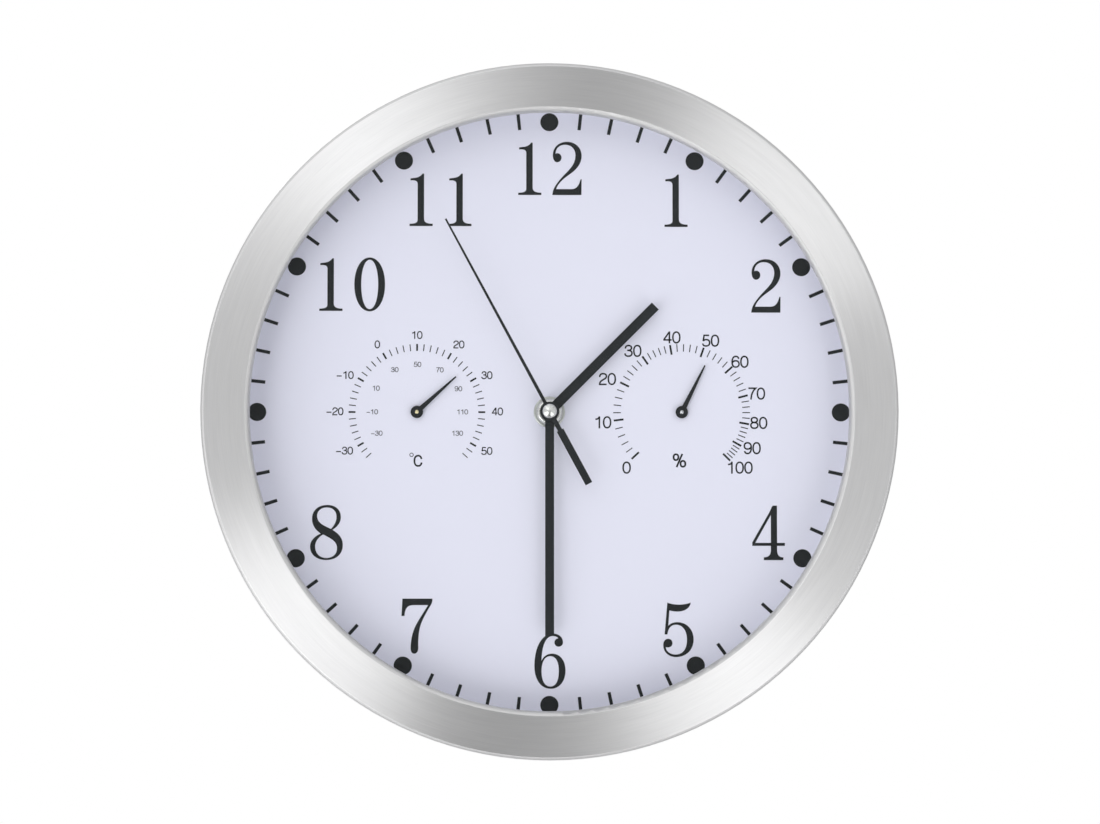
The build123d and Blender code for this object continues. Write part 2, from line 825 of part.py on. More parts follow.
def aa_cell():
    """Cylindrical cell with its raised contact."""
    body_length = cell_length - nub_length
    body = fillet(Cylinder(cell_diameter / 2, body_length).edges(), cell_edge)
    nub = Pos(0, 0, body_length / 2) * Cylinder(nub_radius, 2 * nub_length)
    return Pos(cell_left + body_length / 2, cell_centre, cell_depth) * Rot(Y=90) * (body + nub)


def hand(outline, hub, bore, back, front, angle):
    """A flat hand that points up, turned to its angle from the top."""
    shape = plate(outline, back, front) + disc(hub, back, front)
    return Rot(Z=-angle) * (shape - disc(bore, back - overrun, front + overrun))


def bar(width, length):
    """A straight hand with a square end."""
    return Pos(0, length / 2) * Rectangle(width, length)


def taper(root, tip, length):
    """A needle that narrows to a square tip."""
    corners = ((-root / 2, 0), (root / 2, 0), (tip / 2, length), (-tip / 2, length))
    return make_face(Polyline(*corners, close=True))


def hour_hand():
    """Flat bar pressed on the hour tube."""
    outline = bar(hour_hand_width, hour_hand_length)
    bore = hour_tube_radius + press_gap
    front = hour_hand_back + hand_thickness
    return hand(outline, hand_hub_radius, bore, hour_hand_back, front, hour_hand_angle)


def minute_hand():
    """Flat bar pressed on the minute tube."""
    outline = bar(minute_hand_width, minute_hand_length)
    bore = minute_tube_radius + press_gap
    front = minute_hand_back + hand_thickness
    return hand(outline, hand_hub_radius, bore, minute_hand_back, front, minute_hand_angle)


def second_hand():
    """Needle with a broad counterweight tail on a narrow neck."""
    outline = taper(second_hand_root, second_hand_tip, second_hand_length)
    outline += Rot(Z=180) * bar(second_neck_width, second_tail_length)
    blade = second_tail_length - second_neck_length
    outline += Pos(0, -second_neck_length - blade / 2) * Rectangle(second_tail_width, blade)
    bore = arbor_radius + press_gap
    front = second_hand_front
    return hand(outline, hand_hub_radius, bore, second_hand_back, front, second_hand_angle)


def second_hand_cap():
    """Domed cap pressed on the end of the seconds arbor."""
    ball = (cap_radius ** 2 + cap_height ** 2) / (2 * cap_height)
    dome = Pos(0, 0, cap_front - ball) * Sphere(ball)
    cap = dome & disc(cap_radius, second_hand_front, cap_front)
    bore_front = second_hand_front + cap_bore_depth
    return cap - disc(arbor_radius + press_gap, second_hand_front - overrun, bore_front)


def gauge_cup(place, turns):
    """Shallow cup on the back of the dial, with slots for the air, a pivot boss and the strip's post."""
    floor = cup_back + cup_wall
    cup = disc(cup_radius, cup_back, dial_back, place)
    cup -= disc(cup_radius - cup_wall, floor, dial_back + overrun, place)
    cup += disc(spindle_boss_radius, floor, floor + spindle_boss_height, place)
    hole_back = floor + spindle_boss_height - pivot_depth
    cup -= disc(spindle_radius + running_gap, hole_back, dial_back, place)
    post = place[0] + strip_end(turns) + strip_thickness / 2
    half = strip_post_width / 2
    post_front = coil_back + strip_height
    cup += block(post, post + strip_post_width, place[1] - half, place[1] + half, floor, post_front)
    for number in range(cup_slot_count):
        angle = 360 * (number + 0.5) / cup_slot_count
        spot = from_point(place, angle, (cup_radius + spindle_boss_radius) / 2)
        slot = SlotOverall(cup_slot_length, cup_slot_width, rotation=angle)
        cup -= Pos(spot[0], spot[1], 0) * plate(slot, cup_back - overrun, floor + overrun)
    return cup


def strip_start():
    """Radius at which the strip's middle begins, just clear of the spindle's hub."""
    return spindle_hub_radius + running_gap + strip_thickness / 2


def strip_end(turns):
    """Radius at which the strip's middle ends."""
    return strip_start() + turns * strip_pitch


def spiral(turns, side):
    """Half circles about two centres, one side of the strip's middle."""
    arcs = []
    radius = strip_start() + side
    for number in range(2 * turns):
        shift = (number % 2) * strip_pitch / 2
        arcs.append(CenterArc((shift, 0), radius, 180 * (number % 2), 180))
        radius += strip_pitch / 2
    return arcs


def gauge_coil(place, turns):
    """Spiral strip that bends with the air's heat or damp."""
    half = strip_thickness / 2
    start = strip_start()
    end = strip_end(turns)
    ends = [Line((start - half, 0), (start + half, 0)), Line((end - half, 0), (end + half, 0))]
    outline = make_face(spiral(turns, -half) + spiral(turns, half) + ends)
    return Pos(place[0], place[1], 0) * plate(outline, coil_back, coil_back + strip_height)


def gauge_spindle(place):
    """Spindle from the cup's boss through the dial, with a hub inside the strip."""
    back = cup_back + cup_wall + spindle_boss_height - pivot_depth + end_gap
    front = pointer_back + pointer_thickness + pointer_pin_rise
    hub = disc(spindle_hub_radius, coil_back, coil_back + strip_height, place)
    ball_middle = front - pin_ball_radius
    ball = Pos(place[0], place[1], ball_middle) * Sphere(pin_ball_radius)
    domed_end = ball & disc(spindle_radius, ball_middle, front, place)
    return hub + disc(spindle_radius, back, ball_middle, place) + domed_end


def gauge_pointer(place, length, angle):
    """Tapered pointer with a round hub and a raised collar round its spindle."""
    outline = taper(pointer_root, pointer_tip, length)
    front = pointer_back + pointer_thickness
    bore = spindle_radius + press_gap
    shape = hand(outline, pointer_hub_radius, bore, pointer_back, front, angle)
    shape += tube(bore, pointer_collar_radius, front, front + pointer_collar_rise)
    return Pos(place[0], place[1], 0) * shape


def write(name, shape):
    """Turns a piece to its place in the clock's own frame and writes it."""
    export_step(Pos(0, case_depth / 2, 0) * Rot(X=90) * shape, f"parts/{name}.step")


thermometer = (-gauge_offset, 0)
hygrometer = (gauge_offset, 0)

os.makedirs("parts", exist_ok=True)
write("bezel", bezel())
write("glass_lens", glass_lens())
write("dial", dial())
write("inner_ring", inner_ring())
write("rear_cover", rear_cover())
write("cover_screws", cover_screws())
write("movement_rear_case", movement_rear_case())
write("movement_front_case", movement_front_case())
write("dial_gasket", dial_gasket())
write("dial_washer", dial_washer())
write("bush_nut", bush_nut())
write("rotor_pinion", rotor_pinion())
write("rotor_magnet", rotor_magnet())
write("intermediate_wheel", intermediate_wheel())
write("seconds_wheel", seconds_wheel())
write("third_wheel", third_wheel())
write("centre_wheel", centre_wheel())
write("minute_cannon", minute_cannon())
write("motion_wheel", motion_wheel())
write("hour_wheel", hour_wheel())
write("setting_knob", setting_knob())
write("stator", stator())
write("coil_bobbin", coil_bobbin())
write("coil_winding", coil_winding())
write("circuit_board", circuit_board())
write("quartz_can", quartz_can())
write("timing_chip", timing_chip())
write("battery_contact_plus", battery_contact_plus())
write("battery_contact_minus", battery_contact_minus())
write("aa_cell", aa_cell())
write("hour_hand", hour_hand())
write("minute_hand", minute_hand())
write("second_hand", second_hand())
write("second_hand_cap", second_hand_cap())
write("thermometer_cup", gauge_cup(thermometer, thermometer_turns))
write("thermometer_coil", gauge_coil(thermometer, thermometer_turns))
write("thermometer_spindle", gauge_spindle(thermometer))
pointer = gauge_pointer(thermometer, thermometer_pointer_length, thermometer_angle)
write("thermometer_pointer", pointer)
write("hygrometer_cup", gauge_cup(hygrometer, hygrometer_turns))
write("hygrometer_coil", gauge_coil(hygrometer, hygrometer_turns))
write("hygrometer_spindle", gauge_spindle(hygrometer))
pointer = gauge_pointer(hygrometer, hygrometer_pointer_length, hygrometer_angle)
write("hygrometer_pointer", pointer)
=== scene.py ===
import bpy
from math import cos, pi, radians, sin
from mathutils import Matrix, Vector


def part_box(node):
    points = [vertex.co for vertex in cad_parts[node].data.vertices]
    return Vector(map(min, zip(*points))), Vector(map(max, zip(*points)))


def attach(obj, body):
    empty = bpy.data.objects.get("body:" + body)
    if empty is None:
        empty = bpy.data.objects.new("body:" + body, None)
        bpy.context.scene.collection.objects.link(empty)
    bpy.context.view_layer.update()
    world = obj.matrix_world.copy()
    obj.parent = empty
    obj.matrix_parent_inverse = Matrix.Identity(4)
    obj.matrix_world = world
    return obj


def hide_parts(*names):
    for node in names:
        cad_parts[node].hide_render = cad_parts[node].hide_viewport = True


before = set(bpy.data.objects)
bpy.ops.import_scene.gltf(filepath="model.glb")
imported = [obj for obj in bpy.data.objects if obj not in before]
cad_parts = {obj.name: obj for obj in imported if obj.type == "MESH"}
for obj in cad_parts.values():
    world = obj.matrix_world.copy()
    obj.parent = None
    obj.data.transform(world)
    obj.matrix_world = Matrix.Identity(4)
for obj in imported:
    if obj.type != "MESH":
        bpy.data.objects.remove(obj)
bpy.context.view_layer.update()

# Studio
# The camera hangs 1.4 m in front of the rim, a little low and to the left, as the photograph was taken.
# Four softboxes stand in front and one behind. The room is pale round the clock's axis and darker about
# the camera and behind the clock.
camera_turn = radians(-0.91)
camera_rise = radians(-3.21)
camera_reach = 1.422
clock_front = -0.020
lens_length = 108.46
photo_width = 1100
shift_right_pixels = -0.1
shift_up_pixels = -2.4
bpy.ops.object.select_all(action="DESELECT")
bpy.ops.object.camera_add(
    location=(camera_reach * sin(camera_turn) * cos(camera_rise),
              clock_front - camera_reach * cos(camera_turn) * cos(camera_rise),
              camera_reach * sin(camera_rise)),
    rotation=(pi / 2 - camera_rise, 0, camera_turn))
camera = bpy.context.object
camera.name = "photo_camera"
camera.data.sensor_width = 36
camera.data.lens = lens_length
camera.data.shift_x = shift_right_pixels / photo_width
camera.data.shift_y = shift_up_pixels / photo_width
camera.data.clip_end = 50
bpy.context.scene.camera = camera
bpy.context.scene.view_settings.view_transform = "Standard"


def softbox(name, across, up, out, width, glow):
    bpy.ops.object.light_add(type="AREA", location=(across, out, up))
    lamp = bpy.context.object
    lamp.name = name
    lamp.data.shape = "DISK"
    lamp.data.size = width
    lamp.data.energy = glow * pi * pi * width * width / 4
    lamp.rotation_euler = lamp.location.to_track_quat("Z", "Y").to_euler()


softbox("high_softbox_left", -0.75, 1.0, -1.6, 0.8, 0.4)
softbox("high_softbox_right", 0.93, 0.84, -1.6, 0.8, 0.3)
softbox("low_softbox_left", -0.93, -0.84, -1.6, 0.8, 0.9)
softbox("low_softbox_right", 0.72, -1.02, -1.6, 0.8, 0.9)
softbox("rear_softbox", -0.9, 1.2, 1.7, 0.9, 3.0)


def add_node(tree, kind, **settings):
    made = tree.nodes.new(kind)
    for key, value in settings.items():
        setattr(made, key, value)
    return made


def feed(tree, value, socket):
    if isinstance(value, (int, float)):
        socket.default_value = value
    else:
        tree.links.new(value, socket)


def sum_of(tree, operation, *values):
    made = add_node(tree, "ShaderNodeMath", operation=operation)
    for value, socket in zip(values, made.inputs):
        feed(tree, value, socket)
    return made.outputs[0]


def length_of(tree, first, second):
    squares = [sum_of(tree, "MULTIPLY", side, side) for side in (first, second)]
    return sum_of(tree, "SQRT", sum_of(tree, "ADD", *squares))


def ease(tree, value, low, high):
    made = add_node(tree, "ShaderNodeMapRange", interpolation_type="SMOOTHSTEP")
    tree.links.new(value, made.inputs["Value"])
    made.inputs["From Min"].default_value = low
    made.inputs["From Max"].default_value = high
    return made.outputs["Result"]


world = bpy.data.worlds.new("studio_room")
bpy.context.scene.world = world
world.use_nodes = True
room = world.node_tree
room.nodes.clear()
direction = add_node(room, "ShaderNodeSeparateXYZ")
room.links.new(add_node(room, "ShaderNodeTexCoord").outputs["Generated"], direction.inputs[0])
rightward, backward, upward = direction.outputs
aside = sum_of(room, "MAXIMUM", length_of(room, rightward, upward), 0.0001)
east = sum_of(room, "DIVIDE", rightward, aside)
north = sum_of(room, "DIVIDE", upward, aside)
room_glow = 0.33
top_glow = 0.03
side_glow = 0.43
glow = sum_of(room, "MULTIPLY_ADD", sum_of(room, "MULTIPLY", east, east), side_glow,
              sum_of(room, "MULTIPLY_ADD", north, top_glow, room_glow))
for turn, core, edge, panel_glow in ((144, 13, 23, 1.42), (230, 18, 29, 1.66), (331, 5, 40, 0.79),
                                     (27, 8, 18, 0.38), (5, 10, 20, 0.20), (188, 11, 20, -0.42)):
    facing = sum_of(room, "ADD", sum_of(room, "MULTIPLY", east, sin(radians(turn))),
                    sum_of(room, "MULTIPLY", north, cos(radians(turn))))
    panel = ease(room, facing, cos(radians(edge)), cos(radians(core)))
    glow = sum_of(room, "MULTIPLY_ADD", panel, panel_glow, glow)
stretch_below = -0.40
stretch_above = 1.2
hollow_core = 0.14
hollow_edge = 0.30
tall = sum_of(room, "MAXIMUM", sum_of(room, "MULTIPLY", upward, stretch_below),
              sum_of(room, "MULTIPLY", upward, stretch_above))
clear_in_front = ease(room, length_of(room, rightward, tall), hollow_core, hollow_edge)
clear_of_camera = sum_of(room, "MAXIMUM", clear_in_front, sum_of(room, "GREATER_THAN", backward, 0))
camera_glow = 0.255
camera_slope = 0.9
camera_least = 0.04
camera_side = sum_of(room, "MAXIMUM", camera_least,
                     sum_of(room, "MULTIPLY_ADD", upward, camera_slope, camera_glow))
glow = sum_of(room, "MULTIPLY_ADD", clear_of_camera, sum_of(room, "SUBTRACT", glow, camera_side),
              camera_side)
wall_glow = 0.42
wall_slope = 0.25
wall_start = -0.30
wall_full = 0.10
wall_side = sum_of(room, "MULTIPLY_ADD", upward, wall_slope, wall_glow)
behind = ease(room, backward, wall_start, wall_full)
strength = sum_of(room, "MULTIPLY_ADD", behind, sum_of(room, "SUBTRACT", wall_side, glow), glow)
light_path = add_node(room, "ShaderNodeLightPath")
strength = sum_of(room, "MAXIMUM", strength, light_path.outputs["Is Camera Ray"])
background = add_node(room, "ShaderNodeBackground")
background.inputs["Color"].default_value = (1, 1, 1, 1)
room.links.new(strength, background.inputs["Strength"])
room.links.new(background.outputs[0], add_node(room, "ShaderNodeOutputWorld").inputs[0])
floor_size = 2.4
floor_back = 0.9
floor_height = -0.6
floor_tone = 0.8
bpy.ops.object.select_all(action="DESELECT")
bpy.ops.mesh.primitive_plane_add(size=floor_size, location=(0, floor_back, floor_height))
floor = bpy.context.object
floor.name = "studio_floor"


def start_material(name):
    material = bpy.data.materials.new(name)
    material.use_nodes = True
    tree = material.node_tree
    shader = tree.nodes["Principled BSDF"]
    place = add_node(tree, "ShaderNodeTexCoord").outputs["Object"]
    return material, tree, shader, place


def dress(node, material):
    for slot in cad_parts[node].material_slots:
        slot.material = material


floor_paper, tree, shader, place = start_material("floor_paper")
shader.inputs["Base Color"].default_value = (floor_tone, floor_tone, floor_tone, 1)
shader.inputs["Roughness"].default_value = 0.8
floor.data.materials.append(floor_paper)

# Rear cover
# A moulded black pan with ribs, vents and a keyhole, which carries everything else.
# Its skin has the fine spark grain of the mould, a little uneven in gloss.


def start_group(name, inputs, outputs):
    tree = bpy.data.node_groups.new(name, "ShaderNodeTree")
    for label, kind, value in inputs:
        socket = tree.interface.new_socket(label, in_out="INPUT", socket_type=kind)
        if value is not None:
            socket.default_value = value
    for label, kind in outputs:
        tree.interface.new_socket(label, in_out="OUTPUT", socket_type=kind)
    return tree, add_node(tree, "NodeGroupInput"), add_node(tree, "NodeGroupOutput")


def noise(tree, place, scale, detail):
    made = add_node(tree, "ShaderNodeTexNoise")
    tree.links.new(place, made.inputs["Vector"])
    feed(tree, scale, made.inputs["Scale"])
    made.inputs["Detail"].default_value = detail
    made.inputs["Roughness"].default_value = 0.6
    return made.outputs[0]


fine_skin, inside, outside = start_group(
    "grained_skin",
    (("Place", "NodeSocketVector", None), ("Colour", "NodeSocketColor", None),
     ("Grain", "NodeSocketFloat", 2500.0), ("Unevenness", "NodeSocketFloat", 0.1),
     ("Roughness", "NodeSocketFloat", 0.5)),
    (("Colour", "NodeSocketColor"), ("Roughness", "NodeSocketFloat"), ("Height", "NodeSocketFloat")))
cloud_scale = 45.0
gloss_swing = 1.6
grain = noise(fine_skin, inside.outputs["Place"], inside.outputs["Grain"], 2.0)
cloud = noise(fine_skin, inside.outputs["Place"], cloud_scale, 3.0)
swing, speck = [sum_of(fine_skin, "MULTIPLY", sum_of(fine_skin, "SUBTRACT", pattern, 0.5),
                       inside.outputs["Unevenness"]) for pattern in (cloud, grain)]
tint = add_node(fine_skin, "ShaderNodeHueSaturation")
fine_skin.links.new(inside.outputs["Colour"], tint.inputs["Color"])
brightness = sum_of(fine_skin, "ADD", sum_of(fine_skin, "ADD", swing, speck), 1.0)
fine_skin.links.new(brightness, tint.inputs["Value"])
fine_skin.links.new(tint.outputs[0], outside.inputs["Colour"])
gloss = sum_of(fine_skin, "MULTIPLY_ADD", swing, gloss_swing, inside.outputs["Roughness"])
fine_skin.links.new(gloss, outside.inputs["Roughness"])
fine_skin.links.new(grain, outside.inputs["Height"])


def place_group(tree, group, place, **values):
    made = add_node(tree, "ShaderNodeGroup")
    made.node_tree = group
    tree.links.new(place, made.inputs["Place"])
    for label, value in values.items():
        made.inputs[label].default_value = value
    return made


def raise_bump(tree, shader, height, distance):
    bump = add_node(tree, "ShaderNodeBump")
    bump.inputs["Distance"].default_value = distance
    bump.inputs["Strength"].default_value = 1.0
    tree.links.new(height, bump.inputs["Height"])
    tree.links.new(bump.outputs[0], shader.inputs["Normal"])


def wear_skin(tree, shader, skin, depth):
    tree.links.new(skin.outputs["Colour"], shader.inputs["Base Color"])
    tree.links.new(skin.outputs["Roughness"], shader.inputs["Roughness"])
    raise_bump(tree, shader, skin.outputs["Height"], depth)


def grained_material(name, colour, roughness, grain, unevenness, depth, metallic=0.0, specular=0.5):
    material, tree, shader, place = start_material(name)
    skin = place_group(tree, fine_skin, place, Colour=(*colour, 1), Grain=grain, Unevenness=unevenness,
                       Roughness=roughness)
    wear_skin(tree, shader, skin, depth)
    shader.inputs["Metallic"].default_value = metallic
    shader.inputs["Specular IOR Level"].default_value = specular
    return material


case_black = grained_material("case_black", (0.014, 0.015, 0.017), 0.46, 1500.0, 0.30, 0.00006,
                              specular=0.35)
dress("rear_cover", case_black)

# Movement cases
# Two moulded halves snap together round the gear train; the front one ends in the threaded bush.
# Satin black plastic, smoother than the cover.
movement_black = grained_material("movement_black", (0.016, 0.017, 0.019), 0.38, 3600.0, 0.16, 0.000012)
dress("movement_rear_case", movement_black)
dress("movement_front_case", movement_black)

# Gear train
# The rotor's pinion, six wheels and the minute tube, moulded in natural nylon, milky and faintly glossy.
# They run between the two movement cases and, at the hub, inside one another.
wheel_nylon = grained_material("wheel_nylon", (0.80, 0.77, 0.68), 0.36, 1800.0, 0.06, 0.000006)
shader = wheel_nylon.node_tree.nodes["Principled BSDF"]
shader.inputs["Subsurface Weight"].default_value = 0.15
shader.inputs["Subsurface Scale"].default_value = 0.001
for node in ("rotor_pinion", "intermediate_wheel", "seconds_wheel", "third_wheel", "centre_wheel",
             "minute_cannon", "motion_wheel", "hour_wheel"):
    dress(node, wheel_nylon)

# Setting knob
# A fluted black knob in the back, turned by a finger to set the hands.
# It is moulded in one piece with the pinion that drives the motion wheel.
knob_black = grained_material("knob_black", (0.028, 0.028, 0.030), 0.30, 3200.0, 0.12, 0.00001)
dress("setting_knob", knob_black)

# Stepping motor and circuit
# A sintered magnet in a stamped iron stator, a wound coil on its bobbin, and a small board with its parts.
# All of them lie between the two movement cases.
magnet_grey = grained_material("magnet_grey", (0.055, 0.055, 0.060), 0.42, 5200.0, 0.30, 0.000008)
dress("rotor_magnet", magnet_grey)
iron_grey = grained_material("iron_grey", (0.36, 0.36, 0.37), 0.34, 1500.0, 0.22, 0.000006, metallic=1.0)
dress("stator", iron_grey)
bobbin_white = grained_material("bobbin_white", (0.74, 0.74, 0.70), 0.40, 2600.0, 0.08, 0.00001)
dress("coil_bobbin", bobbin_white)
winding_scale = 2200.0
winding_depth = 0.00004
copper_wire, tree, shader, place = start_material("copper_wire")
turns = add_node(tree, "ShaderNodeTexWave", wave_type="BANDS", bands_direction="Z", wave_profile="SIN")
tree.links.new(place, turns.inputs["Vector"])
turns.inputs["Scale"].default_value = winding_scale
turns.inputs["Distortion"].default_value = 0.8
turns.inputs["Detail"].default_value = 1.0
# Painted shade: the colour follows the turns' bump, darker in the grooves between the turns.
shade = add_node(tree, "ShaderNodeValToRGB")
shade.color_ramp.elements[0].color = (0.30, 0.085, 0.030, 1)
shade.color_ramp.elements[1].color = (0.66, 0.25, 0.10, 1)
tree.links.new(turns.outputs["Fac"], shade.inputs[0])
tree.links.new(shade.outputs[0], shader.inputs["Base Color"])
shader.inputs["Metallic"].default_value = 1.0
shader.inputs["Roughness"].default_value = 0.28
raise_bump(tree, shader, turns.outputs["Fac"], winding_depth)
dress("coil_winding", copper_wire)
board_green = grained_material("board_green", (0.03, 0.16, 0.06), 0.34, 900.0, 0.35, 0.000008)
dress("circuit_board", board_green)
can_steel = grained_material("can_steel", (0.58, 0.58, 0.60), 0.24, 2400.0, 0.12, 0.000004, metallic=1.0)
dress("quartz_can", can_steel)
resin_black = grained_material("resin_black", (0.012, 0.012, 0.013), 0.22, 700.0, 0.25, 0.00001)
dress("timing_chip", resin_black)

# Battery and its contacts
# Nickelled spring strips and a plain AA cell with a printed sleeve and bare ends.
# The cell is pushed in between the strips from behind.
contact_nickel = grained_material("contact_nickel", (0.62, 0.60, 0.56), 0.27, 2600.0, 0.14, 0.000005,
                                  metallic=1.0)
dress("battery_contact_plus", contact_nickel)
dress("battery_contact_minus", contact_nickel)
sleeve_start = 0.020
silver_start = 0.66
blue_start = 0.69
sleeve_end = 0.955
bare_steel = (0.60, 0.60, 0.61, 1)
cell_low, cell_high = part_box("aa_cell")
cell_sleeve, tree, shader, place = start_material("cell_sleeve")
cell_place = add_node(tree, "ShaderNodeSeparateXYZ")
tree.links.new(place, cell_place.inputs[0])
cell_length = add_node(tree, "ShaderNodeMapRange")
tree.links.new(cell_place.outputs["X"], cell_length.inputs["Value"])
cell_length.inputs["From Min"].default_value = cell_low[0]
cell_length.inputs["From Max"].default_value = cell_high[0]
along = cell_length.outputs["Result"]
bands = add_node(tree, "ShaderNodeValToRGB")
bands.color_ramp.interpolation = "CONSTANT"
bands.color_ramp.elements[0].color = bare_steel
bands.color_ramp.elements[1].position = sleeve_start
bands.color_ramp.elements[1].color = (0.018, 0.020, 0.024, 1)
for band, colour in ((silver_start, (0.36, 0.37, 0.39, 1)), (blue_start, (0.06, 0.16, 0.30, 1)),
                     (sleeve_end, bare_steel)):
    bands.color_ramp.elements.new(band).color = colour
tree.links.new(along, bands.inputs[0])
skin = place_group(tree, fine_skin, place, Grain=1900.0, Unevenness=0.10, Roughness=0.28)
tree.links.new(bands.outputs[0], skin.inputs["Colour"])
wear_skin(tree, shader, skin, 0.000004)
bare = sum_of(tree, "MAXIMUM", sum_of(tree, "LESS_THAN", along, sleeve_start),
              sum_of(tree, "GREATER_THAN", along, sleeve_end))
tree.links.new(bare, shader.inputs["Metallic"])
dress("aa_cell", cell_sleeve)

# Dial and its gasket
# A thin aluminium disc sprayed a pale lavender white, with hardly any grain.
# The movement's nut clamps it against a rubber ring.
gasket_black = grained_material("gasket_black", (0.018, 0.018, 0.018), 0.62, 1400.0, 0.25, 0.00002)
dress("dial_gasket", gasket_black)
dial_paint = grained_material("dial_paint", (0.776, 0.779, 0.893), 0.46, 5200.0, 0.012, 0.0000015)
dress("dial", dial_paint)

# Print of the dial
# Twelve round dots, the strokes between them and the serif figures, screen printed in dark ink.
# Figures are drawn in tenths of a millimetre from the middle of their base, and their places are in
# millimetres. 3 and 9 give way to the instruments.
dial_front = 0.0007
ink_depth = 0.00006
ink_middle = dial_front - ink_depth / 2
ink_black = grained_material("ink_black", (0.0135, 0.0160, 0.0170), 0.50, 3600.0, 0.20, 0.000002,
                             specular=0.12)


def select_only(*pieces):
    bpy.ops.object.select_all(action="DESELECT")
    for piece in pieces:
        piece.select_set(True)
    bpy.context.view_layer.objects.active = pieces[0]


def place_in_mesh():
    bpy.ops.object.transform_apply(location=True, rotation=True, scale=True)


def join_as(name, pieces):
    select_only(*pieces)
    place_in_mesh()
    if len(pieces) > 1:
        bpy.ops.object.join()
    bpy.context.object.name = name
    bpy.context.object.data.name = name
    return bpy.context.object


def own_copy(piece):
    made = piece.copy()
    made.data = piece.data.copy()
    bpy.context.scene.collection.objects.link(made)
    return made


def paint(piece, material):
    piece.data.materials.clear()
    piece.data.materials.append(material)


def print_piece(piece, ink):
    paint(piece, ink)
    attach(piece, "case")


def round_edges(offset, segments):
    bpy.ops.object.mode_set(mode="EDIT")
    bpy.ops.mesh.select_all(action="SELECT")
    bpy.ops.mesh.bevel(offset=offset, segments=segments)
    bpy.ops.object.mode_set(mode="OBJECT")


def stroke_ring(centre, angles, inner, outer, width):
    bpy.ops.object.select_all(action="DESELECT")
    bpy.ops.mesh.primitive_cube_add(size=1, location=(0, 0, (inner + outer) / 2),
                                    scale=(width, ink_depth, outer - inner))
    place_in_mesh()
    round_edges(ink_depth / 3, 1)
    first = bpy.context.object
    strokes = [first] + [own_copy(first) for angle in angles[1:]]
    for piece, angle in zip(strokes, angles):
        piece.location = (centre[0], ink_middle, centre[1])
        piece.rotation_euler = (0, radians(angle), 0)
    return strokes


dot_radius = 0.00395
dot_circle = 0.1270
bpy.ops.object.select_all(action="DESELECT")
bpy.ops.mesh.primitive_cylinder_add(vertices=72, radius=dot_radius, depth=ink_depth, rotation=(pi / 2, 0, 0),
                                    location=(0, ink_middle, 0))
round_edges(ink_depth / 3, 2)
dots = [bpy.context.object] + [own_copy(bpy.context.object) for hour in range(11)]
for hour, piece in enumerate(dots):
    angle = radians(30 * hour)
    piece.location = (dot_circle * sin(angle), ink_middle, dot_circle * cos(angle))
print_piece(join_as("hour_dots", dots), ink_black)

stroke_inner = 0.1242
stroke_outer = 0.1314
stroke_width = 0.00145
strokes = stroke_ring((0, 0), [6 * minute for minute in range(60) if minute % 5], stroke_inner, stroke_outer,
                      stroke_width)
print_piece(join_as("minute_strokes", strokes), ink_black)

